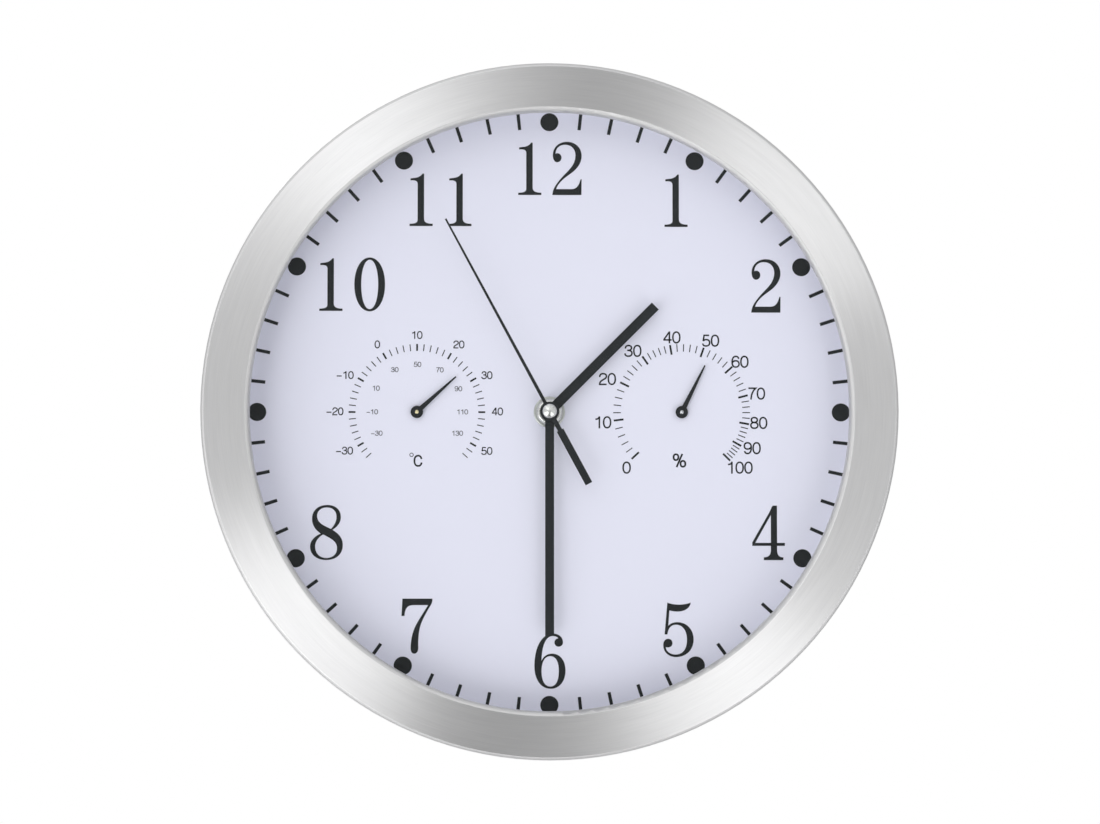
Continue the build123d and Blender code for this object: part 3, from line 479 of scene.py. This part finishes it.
figure_outlines = {
    "1": "M 13 230 L 6 230 C 1 222 -7 215 -22 212 L -45 209 C -47 206 -47 202 -45 200 "
         "C -26 202 -15 198 -15 184 L -15 28 C -15 15 -24 10 -50 10 L -50 0 L 51 0 L 51 10 "
         "C 24 10 15 17 13 30",
    "2": "M -50 181 C -46 184 -40 184 -37 183 C -28 180 -24 172 -24 163 C -25 152 -33 144 -43 144 "
         "C -54 144 -62 156 -62 176 C -62 208 -37 234 0 234 C 37 234 64 208 64 172 "
         "C 64 141 46 115 13 92 C -13 74 -38 54 -47 26 L 20 26 C 44 26 54 47 59 69 L 64 69 L 63 0 "
         "L -64 0 C -63 28 -46 50 -22 78 C 2 105 37 130 37 174 C 37 202 20 221 -9 221 "
         "C -33 221 -50 204 -50 181",
    "4": "M 20 237 L 37 237 L 37 75 L 71 75 L 71 62 L 37 62 L 37 41 C 38 23 44 13 64 12 L 64 0 L -21 0 "
         "L -21 12 C 1 13 9 23 10 41 L 10 62 L -71 62 L -71 77 L 5 210 C 12 224 14 235 20 237 M 10 196 "
         "L -58 75 L 10 75",
    "5": "M -48 234 C -31 227 -11 225 6 225 C 26 226 42 229 54 234 C 50 210 28 195 -4 195 "
         "C -17 195 -28 197 -39 200 L -44 134 C -35 144 -21 149 -5 149 C 37 149 66 117 66 75 "
         "C 66 28 33 -2 -11 -2 C -43 -2 -66 19 -66 50 C -66 66 -58 77 -45 77 C -34 77 -26 70 -26 58 "
         "C -26 47 -35 39 -47 40 C -50 40 -53 40 -55 42 C -54 23 -37 9 -12 9 C 19 9 37 33 37 73 "
         "C 37 113 18 138 -10 138 C -32 138 -44 124 -48 96 L -60 96",
    "6": "M 12 237 C 38 237 56 221 56 199 C 56 188 48 180 37 180 C 27 180 19 188 19 198 "
         "C 19 208 27 216 36 216 C 31 223 23 226 11 226 C -18 226 -36 185 -37 119 "
         "C -29 138 -12 150 9 150 C 44 150 67 120 67 77 C 67 31 41 -2 3 -2 C -40 -2 -68 37 -68 98 "
         "C -68 177 -36 237 12 237 M 1 139 C -23 139 -37 114 -37 74 C -37 33 -23 8 1 8 "
         "C 25 8 38 32 38 75 C 38 116 25 139 1 139",
    "7": "M -63 236 L 67 236 C 67 227 66 218 60 208 C 43 180 27 153 16 122 C 8 96 5 61 6 27 "
         "C 7 9 0 -2 -11 -2 C -22 -2 -28 8 -27 26 C -26 64 -18 98 0 130 C 15 156 33 183 48 208 "
         "L -14 208 C -39 208 -52 197 -54 161 L -67 161",
    "8": "M 3 237 C 38 237 62 217 62 185 C 62 162 50 144 26 129 C 53 113 71 94 71 63 "
         "C 71 23 42 -2 -1 -2 C -43 -2 -71 22 -71 56 C -71 81 -54 100 -25 113 "
         "C -48 128 -63 149 -63 177 C -63 213 -37 237 3 237 M 1 226 C -24 226 -41 211 -41 189 "
         "C -41 157 -7 146 19 133 C 34 148 43 165 43 185 C 43 211 27 226 1 226 M -14 109 "
         "C -36 97 -49 78 -49 57 C -49 28 -30 7 0 7 C 27 7 46 24 46 49 C 46 83 11 94 -14 109",
    "0": "M 0 234 C 39 234 67 184 67 116 C 67 48 39 -2 0 -2 C -39 -2 -67 48 -67 116 "
         "C -67 184 -39 234 0 234 M 0 224 C -22 224 -37 180 -37 116 C -37 52 -22 8 0 8 "
         "C 22 8 37 52 37 116 C 37 180 22 224 0 224",
}
figure_places = (
    ("1", -8.6, 95.0), ("2", 7.7, 95.0), ("1", 55.3, 81.1), ("2", 94.5, 43.6), ("4", 95.3, -64.3),
    ("5", 56.0, -106.1), ("6", 0.3, -119.8), ("7", -57.4, -104.6), ("8", -96.7, -64.1), ("1", -95.2, 44.1),
    ("0", -78.3, 44.1), ("1", -56.0, 81.3), ("1", -39.1, 81.3))


def add_contours(curve, paths, unit, shift=0.0, breadth=1.0, closed=True):
    for contour in paths.split("M")[1:]:
        words = contour.split()
        knots = [[(float(words[0]), float(words[1])), None, None]]
        spot = 2
        while spot < len(words):
            count = 3 if words[spot] == "C" else 1
            values = [float(word) for word in words[spot + 1:spot + 1 + 2 * count]]
            pairs = list(zip(values[::2], values[1::2]))
            if count == 3:
                knots[-1][2] = pairs[0]
                knots.append([pairs[2], pairs[1], None])
            else:
                knots.append([pairs[0], None, None])
            spot += 1 + 2 * count
        ends_meet = knots[-1][0] == knots[0][0]
        if ends_meet:
            knots[0][1] = knots[-1][1]
            knots.pop()
        line = curve.splines.new("BEZIER")
        line.bezier_points.add(len(knots) - 1)
        for point, (here, before, after) in zip(line.bezier_points, knots):
            point.handle_left_type = "FREE" if before else "VECTOR"
            point.handle_right_type = "FREE" if after else "VECTOR"
            point.co = ((here[0] + shift) * breadth * unit, here[1] * unit, 0)
            if before:
                point.handle_left = ((before[0] + shift) * breadth * unit, before[1] * unit, 0)
            if after:
                point.handle_right = ((after[0] + shift) * breadth * unit, after[1] * unit, 0)
        line.use_cyclic_u = closed or ends_meet


def start_print(name, fill, fineness):
    curve = bpy.data.curves.new(name, "CURVE")
    curve.dimensions = "2D"
    curve.fill_mode = fill
    curve.extrude = ink_depth / 2
    curve.resolution_u = fineness
    return curve


def printed_mesh(curve):
    piece = bpy.data.objects.new("printed", curve)
    bpy.context.scene.collection.objects.link(piece)
    select_only(piece)
    bpy.ops.object.convert(target="MESH")
    return bpy.context.object


figure_unit = 0.0001
drawn = {}
for figure, paths in figure_outlines.items():
    curve = start_print("figure_" + figure, "BOTH", 10)
    add_contours(curve, paths, figure_unit)
    drawn[figure] = printed_mesh(curve)
figures = []
for figure, across, up in figure_places:
    piece = own_copy(drawn[figure])
    piece.rotation_euler = (pi / 2, 0, 0)
    piece.location = (across / 1000, ink_middle, up / 1000)
    figures.append(piece)
for piece in drawn.values():
    bpy.data.objects.remove(piece)
print_piece(join_as("hour_figures", figures), ink_black)

# Scales of the thermometer and the hygrometer
# Thin strokes and plain numbers round each pointer, screen printed with the rest of the dial.
# The Fahrenheit row inside the Celsius one is grey. Places are in millimetres from the spindle, and the
# line figures are drawn to a height of a hundred.
ink_grey = grained_material("ink_grey", (0.115, 0.118, 0.128), 0.50, 3600.0, 0.20, 0.000002)
thermometer_centre = (-0.0576, 0)
hygrometer_centre = (0.0576, 0)

thin_figures = {
    "0": (56, "M 28 95 C 42 95 50 78 50 50 C 50 22 42 5 28 5 C 14 5 6 22 6 50 C 6 78 14 95 28 95"),
    "1": (56, "M 35 0 L 35 100 M 35 97 C 32 84 25 77 10 76"),
    "2": (56, "M 7 66 C 7 86 16 95 29 95 C 42 95 50 86 50 73 C 50 60 42 53 28 43 C 14 33 7 24 7 5 "
              "L 51 5"),
    "3": (56, "M 8 70 C 9 86 17 95 28 95 C 40 95 47 88 47 76 C 47 63 40 54 26 54 M 20 54 L 30 54 "
              "M 26 54 C 42 54 50 45 50 30 C 50 14 41 5 27 5 C 14 5 6 13 6 29"),
    "4": (56, "M 40 0 L 40 100 M 39 96 L 4 29 M 1 29 L 54 29"),
    "5": (56, "M 47 95 L 15 95 L 9 46 M 9 47 C 14 55 21 59 29 59 C 43 59 50 48 50 32 C 50 15 41 5 27 5 "
              "C 15 5 7 12 6 26"),
    "6": (56, "M 48 74 C 46 88 40 95 29 95 C 14 95 6 78 6 45 C 6 18 14 5 29 5 C 42 5 50 15 50 32 "
              "C 50 48 42 58 30 58 C 17 58 7 49 7 34"),
    "7": (56, "M 5 95 L 51 95 C 35 76 23 50 21 0"),
    "8": (56, "M 28 54 C 16 54 9 63 9 75 C 9 87 16 95 28 95 C 40 95 47 87 47 75 C 47 63 40 54 28 54 "
              "M 28 54 C 14 54 6 44 6 30 C 6 15 14 5 28 5 C 42 5 50 15 50 30 C 50 44 42 54 28 54"),
    "9": (56, "M 8 26 C 10 12 16 5 27 5 C 42 5 50 22 50 55 C 50 82 42 95 27 95 C 14 95 6 85 6 68 "
              "C 6 52 14 42 26 42 C 39 42 49 51 49 66"),
    "-": (58, "M 3 38 L 51 38"),
    "C": (74, "M 68 66 C 65 85 55 95 40 95 C 19 95 7 79 7 50 C 7 21 19 5 40 5 C 56 5 67 15 69 35"),
    "%": (90, "M 23 95 C 33 95 38 87 38 74 C 38 61 33 53 23 53 C 13 53 8 61 8 74 C 8 87 13 95 23 95 "
              "M 67 47 C 77 47 82 39 82 26 C 82 13 77 5 67 5 C 57 5 52 13 52 26 C 52 39 57 47 67 47 "
              "M 63 98 L 27 2"),
}


def print_label(words, centre, across, up, height, weight, breadth):
    curve = start_print("label", "NONE", 7)
    start = 0
    for letter in words:
        advance, paths = thin_figures[letter]
        add_contours(curve, paths, height / 100, start, breadth, closed=False)
        start += advance
    label = printed_mesh(curve)
    body = label.modifiers.new("body", "SOLIDIFY")
    body.thickness = weight * height / 100
    body.offset = 0
    body.use_even_offset = True
    bpy.ops.object.modifier_apply(modifier="body")
    points = [vertex.co.x for vertex in label.data.vertices]
    label.rotation_euler = (pi / 2, 0, 0)
    label.location = (centre[0] + across / 1000 - (min(points) + max(points)) / 2, ink_middle,
                      centre[1] + up / 1000 - height / 2)
    return label


def print_row(centre, height, weight, breadth, places):
    return [print_label(words, centre, across, up, height, weight, breadth) for words, across, up in places]


fine_stroke = 0.00042
figure_breadth = 1.32
celsius_height = 0.00335
celsius_stroke = 0.00078
celsius_inner = 0.0267
celsius_outer = 0.0297
celsius = print_row(thermometer_centre, celsius_height, 14.0, figure_breadth, (
    ("10", 0.1, 33.6), ("0", -17.3, 29.5), ("20", 18.2, 29.5), ("-10", -31.2, 16.1), ("30", 30.4, 16.1),
    ("-20", -35.6, 0.3), ("40", 35.0, 0.3), ("-30", -31.4, -16.8), ("50", 30.4, -16.9)))
celsius += stroke_ring(thermometer_centre, list(range(-120, 121, 30)), celsius_inner, celsius_outer,
                       celsius_stroke)
celsius += stroke_ring(thermometer_centre, [angle for angle in range(-132, 133, 6) if angle % 30],
                       celsius_inner, celsius_outer, fine_stroke)
sign_letter_height = 0.0050
celsius += print_row(thermometer_centre, sign_letter_height, 15.0, 1.0, (("C", 0.5, -21.2),))
degree_radius = 0.00075
degree_stroke = 0.00017
degree_across = -0.0023
degree_up = -0.0186
bpy.ops.object.select_all(action="DESELECT")
bpy.ops.mesh.primitive_torus_add(major_segments=32, minor_segments=8, major_radius=degree_radius,
                                 minor_radius=degree_stroke, rotation=(pi / 2, 0, 0),
                                 location=(thermometer_centre[0] + degree_across, dial_front,
                                           thermometer_centre[1] + degree_up))
degree = bpy.context.object
degree.scale = (1, 1, ink_depth / degree_stroke)
celsius.append(degree)
print_piece(join_as("celsius_scale", celsius), ink_black)

fahrenheit_height = 0.00213
fahrenheit = print_row(thermometer_centre, fahrenheit_height, 15.5, 1.40, (
    ("-30", -17.4, -9.2), ("-10", -19.4, 0.1), ("10", -17.7, 10.4), ("30", -9.7, 18.5), ("50", 0.2, 20.8),
    ("70", 10.0, 18.4), ("90", 18.0, 10.2), ("110", 19.9, 0.1), ("130", 17.7, -9.2)))
print_piece(join_as("fahrenheit_scale", fahrenheit), ink_grey)

damp_angles = (-133, -97, -64, -35, -9.7, 19, 48, 75.5, 100, 119.5, 135)
damp_steps = []
for low, high in zip(damp_angles, damp_angles[1:]):
    damp_steps += [low + (high - low) * step / 5 for step in range(1, 5)]
damp_height = 0.0052
damp_stroke = 0.00085
damp_outer = 0.0298
damp_inner = 0.0255
damp_step_inner = 0.0265
humidity = stroke_ring(hygrometer_centre, damp_angles, damp_inner, damp_outer, damp_stroke)
humidity += stroke_ring(hygrometer_centre, damp_steps, damp_step_inner, damp_outer, fine_stroke)
humidity += print_row(hygrometer_centre, damp_height, 13.0, figure_breadth, (
    ("0", -24.0, -24.1), ("10", -34.1, -4.4), ("20", -32.3, 14.5), ("30", -21.2, 26.8), ("40", -4.2, 32.7),
    ("50", 12.7, 31.3), ("60", 25.5, 22.1), ("70", 32.8, 8.2), ("80", 33.6, -4.6), ("90", 30.7, -15.6),
    ("100", 25.5, -24.1)))
per_cent_height = 0.0060
humidity += print_row(hygrometer_centre, per_cent_height, 13.0, 1.15, (("%", -1.0, -21.0),))
print_piece(join_as("humidity_scale", humidity), ink_black)

# Ring between dial and glass
# A white moulded ring that holds dial and glass apart, hidden but for a sliver beside the rim.
# The cover's screws are driven into its bosses.
ring_white = grained_material("ring_white", (0.78, 0.78, 0.82), 0.42, 2600.0, 0.06, 0.00001)
dress("inner_ring", ring_white)

# Rim
# Spun from one aluminium disc, brushed in circles on a lathe and clear anodised.
# The brush leaves the inner roll and the outer corner duller than the flat face, and their colour is painted
# greyer as painted shade, a thin darker line along both edges.
lathe_marks, inside, outside = start_group(
    "lathe_marks",
    (("Place", "NodeSocketVector", None), ("Fine", "NodeSocketFloat", 4000.0),
     ("Coarse", "NodeSocketFloat", 600.0), ("Length", "NodeSocketFloat", 6.0)),
    (("Streak", "NodeSocketFloat"), ("Mix", "NodeSocketFloat")))
fine_share = 0.6
coarse_share = 0.4
spot = add_node(lathe_marks, "ShaderNodeSeparateXYZ")
lathe_marks.links.new(inside.outputs["Place"], spot.inputs[0])
radius = length_of(lathe_marks, spot.outputs["X"], spot.outputs["Z"])
safe = sum_of(lathe_marks, "MAXIMUM", radius, 0.00001)
ring_place = sum_of(lathe_marks, "ADD", radius, spot.outputs["Y"])
east, north = [sum_of(lathe_marks, "MULTIPLY", sum_of(lathe_marks, "DIVIDE", spot.outputs[side], safe),
                      inside.outputs["Length"]) for side in ("X", "Z")]
found = []
for label in ("Fine", "Coarse"):
    polar = add_node(lathe_marks, "ShaderNodeCombineXYZ")
    lathe_marks.links.new(east, polar.inputs[0])
    lathe_marks.links.new(north, polar.inputs[1])
    ring_step = sum_of(lathe_marks, "MULTIPLY", ring_place, inside.outputs[label])
    lathe_marks.links.new(ring_step, polar.inputs[2])
    found.append(noise(lathe_marks, polar.outputs[0], 1.0, 3.0))
lathe_marks.links.new(found[0], outside.inputs["Streak"])
mixed = sum_of(lathe_marks, "MULTIPLY_ADD", found[0], fine_share,
               sum_of(lathe_marks, "MULTIPLY", found[1], coarse_share))
lathe_marks.links.new(mixed, outside.inputs["Mix"])


def turned_material(name, dark, light, roughness, spread, fine=4000.0, coarse=600.0, depth=0.000001):
    material, tree, shader, place = start_material(name)
    marks = place_group(tree, lathe_marks, place, Fine=fine, Coarse=coarse)
    shade = add_node(tree, "ShaderNodeValToRGB")
    shade.color_ramp.elements[0].position = 0.3
    shade.color_ramp.elements[1].position = 0.7
    shade.color_ramp.elements[0].color = (*dark, 1)
    shade.color_ramp.elements[1].color = (*light, 1)
    tree.links.new(marks.outputs["Mix"], shade.inputs[0])
    tree.links.new(shade.outputs[0], shader.inputs["Base Color"])
    swing = sum_of(tree, "SUBTRACT", marks.outputs["Mix"], 0.5)
    tree.links.new(sum_of(tree, "MULTIPLY_ADD", swing, spread, roughness), shader.inputs["Roughness"])
    shader.inputs["Metallic"].default_value = 1.0
    raise_bump(tree, shader, marks.outputs["Streak"], depth)
    return material


roll_edge = 0.1310
roll_blend = 0.0002
corner_start = 0.1485
corner_full = 0.1488
corner_end = 0.1497
side_wall = 0.1499
brushing = 0.97
roll_roughness = 0.25
edge_shade_grey = (0.67, 0.67, 0.675, 1)
rim_aluminium = turned_material("rim_aluminium", (0.81, 0.81, 0.815), (0.90, 0.90, 0.905), 0.36, 0.10,
                                depth=0.0000006)
tree = rim_aluminium.node_tree
shader = tree.nodes["Principled BSDF"]
place = add_node(tree, "ShaderNodeSeparateXYZ")
tree.links.new(tree.nodes["Texture Coordinate"].outputs["Object"], place.inputs[0])
from_axis = length_of(tree, place.outputs["X"], place.outputs["Z"])
roll = ease(tree, from_axis, roll_edge + roll_blend, roll_edge - roll_blend)
corner = sum_of(tree, "MULTIPLY", ease(tree, from_axis, corner_start, corner_full),
                ease(tree, from_axis, side_wall, corner_end))
rounded = sum_of(tree, "ADD", roll, corner)
polish = shader.inputs["Roughness"].links[0].from_socket
tree.links.new(sum_of(tree, "MULTIPLY_ADD", rounded, roll_roughness, polish), shader.inputs["Roughness"])
tree.links.new(sum_of(tree, "MULTIPLY_ADD", rounded, -brushing, brushing), shader.inputs["Anisotropic"])
shader.inputs["Anisotropic Rotation"].default_value = 0.25
round_way = add_node(tree, "ShaderNodeTangent", direction_type="RADIAL", axis="Y")
tree.links.new(round_way.outputs[0], shader.inputs["Tangent"])
# Painted shade: the inner roll and the outer corner are mixed towards a grey, drawing darker lines at the
# rim's edges.
edge_shade_mix = add_node(tree, "ShaderNodeMix", data_type="RGBA")
tree.links.new(rounded, edge_shade_mix.inputs["Factor"])
tree.links.new(shader.inputs["Base Color"].links[0].from_socket, edge_shade_mix.inputs[6])
edge_shade_mix.inputs[7].default_value = edge_shade_grey
tree.links.new(edge_shade_mix.outputs[2], shader.inputs["Base Color"])
dress("bezel", rim_aluminium)

# Washer and nut of the hub
# Nickel plated brass, turned on a lathe and then polished; the nut clamps washer and dial to the bush.
# The washer's edge is rounded and the nut's front edge bevelled.
hub_nickel = turned_material("hub_nickel", (0.66, 0.66, 0.63), (0.78, 0.78, 0.75), 0.26, 0.10, fine=9000.0,
                             coarse=2500.0, depth=0.0000004)


def turned_piece(name, rings, sides=96, bored=False):
    bpy.ops.object.select_all(action="DESELECT")
    bpy.ops.mesh.primitive_circle_add(vertices=sides, radius=rings[0][0], rotation=(pi / 2, 0, 0),
                                      location=(0, rings[0][1], 0))
    place_in_mesh()
    bpy.ops.object.mode_set(mode="EDIT")
    bpy.ops.mesh.select_all(action="SELECT")
    for (radius, depth), (next_radius, next_depth) in zip(rings, rings[1:]):
        bpy.ops.mesh.extrude_edges_move(TRANSFORM_OT_translate={"value": (0, next_depth - depth, 0)})
        share = next_radius / radius
        bpy.ops.transform.resize(value=(share, 1, share), center_override=(0, next_depth, 0))
    bpy.ops.mesh.select_all(action="SELECT")
    bpy.ops.mesh.remove_doubles(threshold=0.000002)
    bpy.ops.mesh.select_all(action="DESELECT")
    bpy.ops.mesh.select_non_manifold()
    if bored:
        bpy.ops.mesh.bridge_edge_loops()
    else:
        bpy.ops.mesh.edge_face_add()
    bpy.ops.mesh.select_all(action="SELECT")
    bpy.ops.mesh.normals_make_consistent(inside=False)
    bpy.ops.object.mode_set(mode="OBJECT")
    piece = bpy.context.object
    piece.name = name
    piece.data.name = name
    bpy.ops.object.shade_smooth_by_angle(angle=radians(40))
    return piece


bush_bore = 0.00403
washer_front = -0.0001
washer_radius = 0.00685
washer_round = 0.0005
washer_roll = 0.00045
washer_rings = [(bush_bore, dial_front), (washer_radius - 0.00015, dial_front),
                (washer_radius - 0.00004, dial_front - 0.00004), (washer_radius, dial_front - 0.00012),
                (washer_radius, washer_front + washer_roll)]
for step in range(1, 9):
    lean = pi / 2 * step / 8
    washer_rings.append((washer_radius - washer_round * (1 - cos(lean)),
                         washer_front + washer_roll * (1 - sin(lean))))
washer_rings.append((bush_bore, washer_front))
nut_front = -0.0025
nut_radius = 0.0056
nut_rings = [(bush_bore, washer_front), (nut_radius - 0.00008, washer_front),
             (nut_radius, washer_front - 0.00008), (nut_radius, nut_front + 0.00085),
             (nut_radius - 0.00004, nut_front + 0.00068), (nut_radius - 0.00012, nut_front + 0.00056),
             (nut_radius - 0.00074, nut_front + 0.00010), (nut_radius - 0.00084, nut_front + 0.00003),
             (nut_radius - 0.001, nut_front), (bush_bore, nut_front)]
# Painted shade: the washer's nickel is a darker copy of the nut's, so the washer reads darker than the nut.
shaded_washer_nickel = turned_material("shaded_washer_nickel", (0.50, 0.515, 0.49), (0.61, 0.62, 0.59), 0.30, 0.10,
                                fine=9000.0, coarse=2500.0, depth=0.0000004)
for name, rings, node, finish in (("clamp_washer", washer_rings, "dial_washer", shaded_washer_nickel),
                                  ("clamp_nut", nut_rings, "bush_nut", hub_nickel)):
    piece = turned_piece(name, rings, bored=True)
    paint(piece, finish)
    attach(piece, "case")
    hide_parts(node)

# Cap of the second hand
# A small domed cap, turned and nickel plated, with its rim rolled under.
# It is pressed on the seconds arbor, in front of the second hand.
cap_back = -0.0086
cap_front = -0.0102
cap_radius = 0.0031
cap_dome = 0.003572
cap_lean = radians(50)
cap_rings = [(cap_radius - 0.0007, cap_back), (cap_radius - 0.0002, cap_back),
             (cap_radius - 0.00005, cap_back - 0.00010), (cap_radius, cap_back - 0.00025)]
for step in range(1, 15):
    lean = cap_lean * (1 - step / 15)
    cap_rings.append((cap_radius * sin(lean) / sin(cap_lean), cap_front + cap_dome * (1 - cos(lean))))
hub_cap = turned_piece("hub_cap", cap_rings)
paint(hub_cap, hub_nickel)
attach(hub_cap, "seconds")
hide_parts("second_hand_cap")

# Hands
# Stamped from thin aluminium strip and dipped in black lacquer.
# The pointers of the two instruments are finished the same way.
hand_black = grained_material("hand_black", (0.0135, 0.0160, 0.0175), 0.36, 1300.0, 0.10, 0.000003,
                              specular=0.18)
for node in ("hour_hand", "minute_hand", "second_hand", "thermometer_pointer", "hygrometer_pointer"):
    dress(node, hand_black)

# Thermometer and hygrometer works
# A pressed cup behind the dial holds a spiral strip that turns a thin spindle with the pointer.
# The strips are rolled bronze, and the spindles are turned in brass and in steel.
strip_bronze = turned_material("strip_bronze", (0.52, 0.40, 0.22), (0.66, 0.54, 0.34), 0.30, 0.12)
spindle_brass = turned_material("spindle_brass", (0.60, 0.52, 0.28), (0.78, 0.70, 0.46), 0.22, 0.08,
                                fine=9000.0)
spindle_steel = turned_material("spindle_steel", (0.46, 0.47, 0.48), (0.62, 0.63, 0.64), 0.22, 0.08,
                                fine=9000.0)
cup_black = grained_material("cup_black", (0.020, 0.020, 0.022), 0.42, 3000.0, 0.15, 0.00001)
for kind, spindle in (("thermometer", spindle_brass), ("hygrometer", spindle_steel)):
    dress(kind + "_cup", cup_black)
    dress(kind + "_coil", strip_bronze)
    dress(kind + "_spindle", spindle)

# Glass
# A flat float glass disc with ground edges, held between ring and rim.
# It lets the softboxes' light through to the dial unbent and has a faint uneven film.
lens_glass, tree, shader, place = start_material("lens_glass")
shader.inputs["Base Color"].default_value = (0.98, 0.99, 1.0, 1)
shader.inputs["Transmission Weight"].default_value = 1.0
shader.inputs["IOR"].default_value = 1.30
film_scale = 35.0
film_haze = 0.02
film = noise(tree, place, film_scale, 2.0)
tree.links.new(sum_of(tree, "MULTIPLY", film, film_haze), shader.inputs["Roughness"])
clear = add_node(tree, "ShaderNodeBsdfTransparent")
either = add_node(tree, "ShaderNodeMixShader")
ray = add_node(tree, "ShaderNodeLightPath")
passing = sum_of(tree, "MAXIMUM", ray.outputs["Is Shadow Ray"], ray.outputs["Is Diffuse Ray"])
tree.links.new(passing, either.inputs[0])
tree.links.new(shader.outputs[0], either.inputs[1])
tree.links.new(clear.outputs[0], either.inputs[2])
tree.links.new(either.outputs[0], tree.nodes["Material Output"].inputs[0])
dress("glass_lens", lens_glass)

# Cover screws
# Six zinc plated tapping screws with flat raised heads and cross recesses.
# They are driven from the back into the ring's bosses, and each stopped at its own turn.
screw_zinc = grained_material("screw_zinc", (0.30, 0.30, 0.315), 0.34, 4200.0, 0.25, 0.000006, metallic=1.0)
wall_face = 0.020
head_radius = 0.00278
head_depth = 0.0013
neck_radius = 0.0015
neck_length = 0.0012
thread_crest = 0.00148
thread_root = 0.00118
thread_pitch = 0.0009
shank_end = wall_face - 0.0139
thread_runout = 0.0012
point_length = 0.0010
point_radius = 0.00112
tip_radius = 0.0004
screw_rings = [(0.0020, wall_face - 0.00002), (0.0025, wall_face - 0.00016), (0.0027, wall_face - 0.00035),
               (head_radius, wall_face - 0.0006), (head_radius, wall_face - head_depth),
               (neck_radius, wall_face - head_depth)]
turn_place = wall_face - head_depth - neck_length
while turn_place - thread_pitch > shank_end + thread_runout:
    screw_rings += [(thread_crest, turn_place), (thread_root, turn_place - thread_pitch / 2)]
    turn_place -= thread_pitch
screw_rings += [(point_radius, shank_end + point_length), (tip_radius, shank_end)]
first_screw = turned_piece("screw", screw_rings, sides=40)
recess_size = (0.0034, 0.0018, 0.00062)
for turn in (0, 90):
    bpy.ops.object.select_all(action="DESELECT")
    bpy.ops.mesh.primitive_cube_add(size=1, location=(0, wall_face, 0), scale=recess_size)
    recess = bpy.context.object
    recess.rotation_euler = (0, radians(turn), 0)
    place_in_mesh()
    cut = first_screw.modifiers.new("cross_recess", "BOOLEAN")
    cut.object = recess
    cut.operation = "DIFFERENCE"
    select_only(first_screw)
    bpy.ops.object.modifier_apply(modifier="cross_recess")
    bpy.data.objects.remove(recess)
boss_circle = 0.1422
screws = [first_screw] + [own_copy(first_screw) for number in range(5)]
for number, piece in enumerate(screws):
    angle = radians(30 + 60 * number)
    piece.location = (boss_circle * cos(angle), 0, boss_circle * sin(angle))
    piece.rotation_euler = (0, radians(17 + 47 * number), 0)
driven_screws = join_as("driven_screws", screws)
paint(driven_screws, screw_zinc)
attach(driven_screws, "case")
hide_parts("cover_screws")

# Marks on the movement
# Plus and minus beside the cell and an arrow round the knob, raised in the moulded case
# and rolled over with white paint.
mark_front = 0.018
mark_rise = 0.00025
mark_root = 0.0001
mark_width = 0.0008
mark_length = 0.0042
mark_rounding = 0.00007
mark_thickness = mark_rise + mark_root
mark_middle = mark_front + (mark_rise - mark_root) / 2


def raised_bar(across, up, length, height):
    bpy.ops.object.select_all(action="DESELECT")
    bpy.ops.mesh.primitive_cube_add(size=1, location=(across, mark_middle, up),
                                    scale=(length, mark_thickness, height))
    place_in_mesh()
    round_edges(mark_rounding, 2)
    return bpy.context.object


sign_across = 0.022
sign_up = -0.0075
marks = [raised_bar(sign_across, sign_up, mark_length, mark_width),
         raised_bar(sign_across, sign_up, mark_width, mark_length),
         raised_bar(-sign_across, sign_up, mark_length, mark_width)]
knob_low, knob_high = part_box("setting_knob")
knob_across = (knob_low[0] + knob_high[0]) / 2
knob_up = (knob_low[2] + knob_high[2]) / 2
arrow_radius = 0.0086
head_size = 0.0017
head_ahead = 0.0006
bpy.ops.object.select_all(action="DESELECT")
bpy.ops.mesh.primitive_plane_add(size=1, rotation=(0, pi / 2, 0),
                                 location=(knob_across, mark_middle, knob_up + arrow_radius))
bpy.context.object.scale = (mark_width, mark_thickness, 1)
place_in_mesh()
bpy.ops.object.mode_set(mode="EDIT")
bpy.ops.mesh.select_all(action="SELECT")
bpy.ops.mesh.spin(steps=28, angle=radians(110), center=(knob_across, 0, knob_up), axis=(0, 1, 0))
bpy.ops.mesh.select_all(action="DESELECT")
bpy.ops.mesh.select_non_manifold()
bpy.ops.mesh.edge_face_add()
bpy.ops.mesh.select_all(action="SELECT")
bpy.ops.mesh.normals_make_consistent(inside=False)
bpy.ops.object.mode_set(mode="OBJECT")
marks.append(bpy.context.object)
bpy.ops.object.select_all(action="DESELECT")
bpy.ops.mesh.primitive_cylinder_add(vertices=3, radius=head_size, depth=mark_thickness,
                                    rotation=(pi / 2, pi / 2, 0),
                                    location=(knob_across + head_ahead, mark_middle, knob_up + arrow_radius))
marks.append(bpy.context.object)
case_marks = join_as("case_marks", marks)
mark_white = grained_material("mark_white", (0.62, 0.62, 0.61), 0.50, 2600.0, 0.12, 0.000003)
paint(case_marks, mark_white)
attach(case_marks, "case")
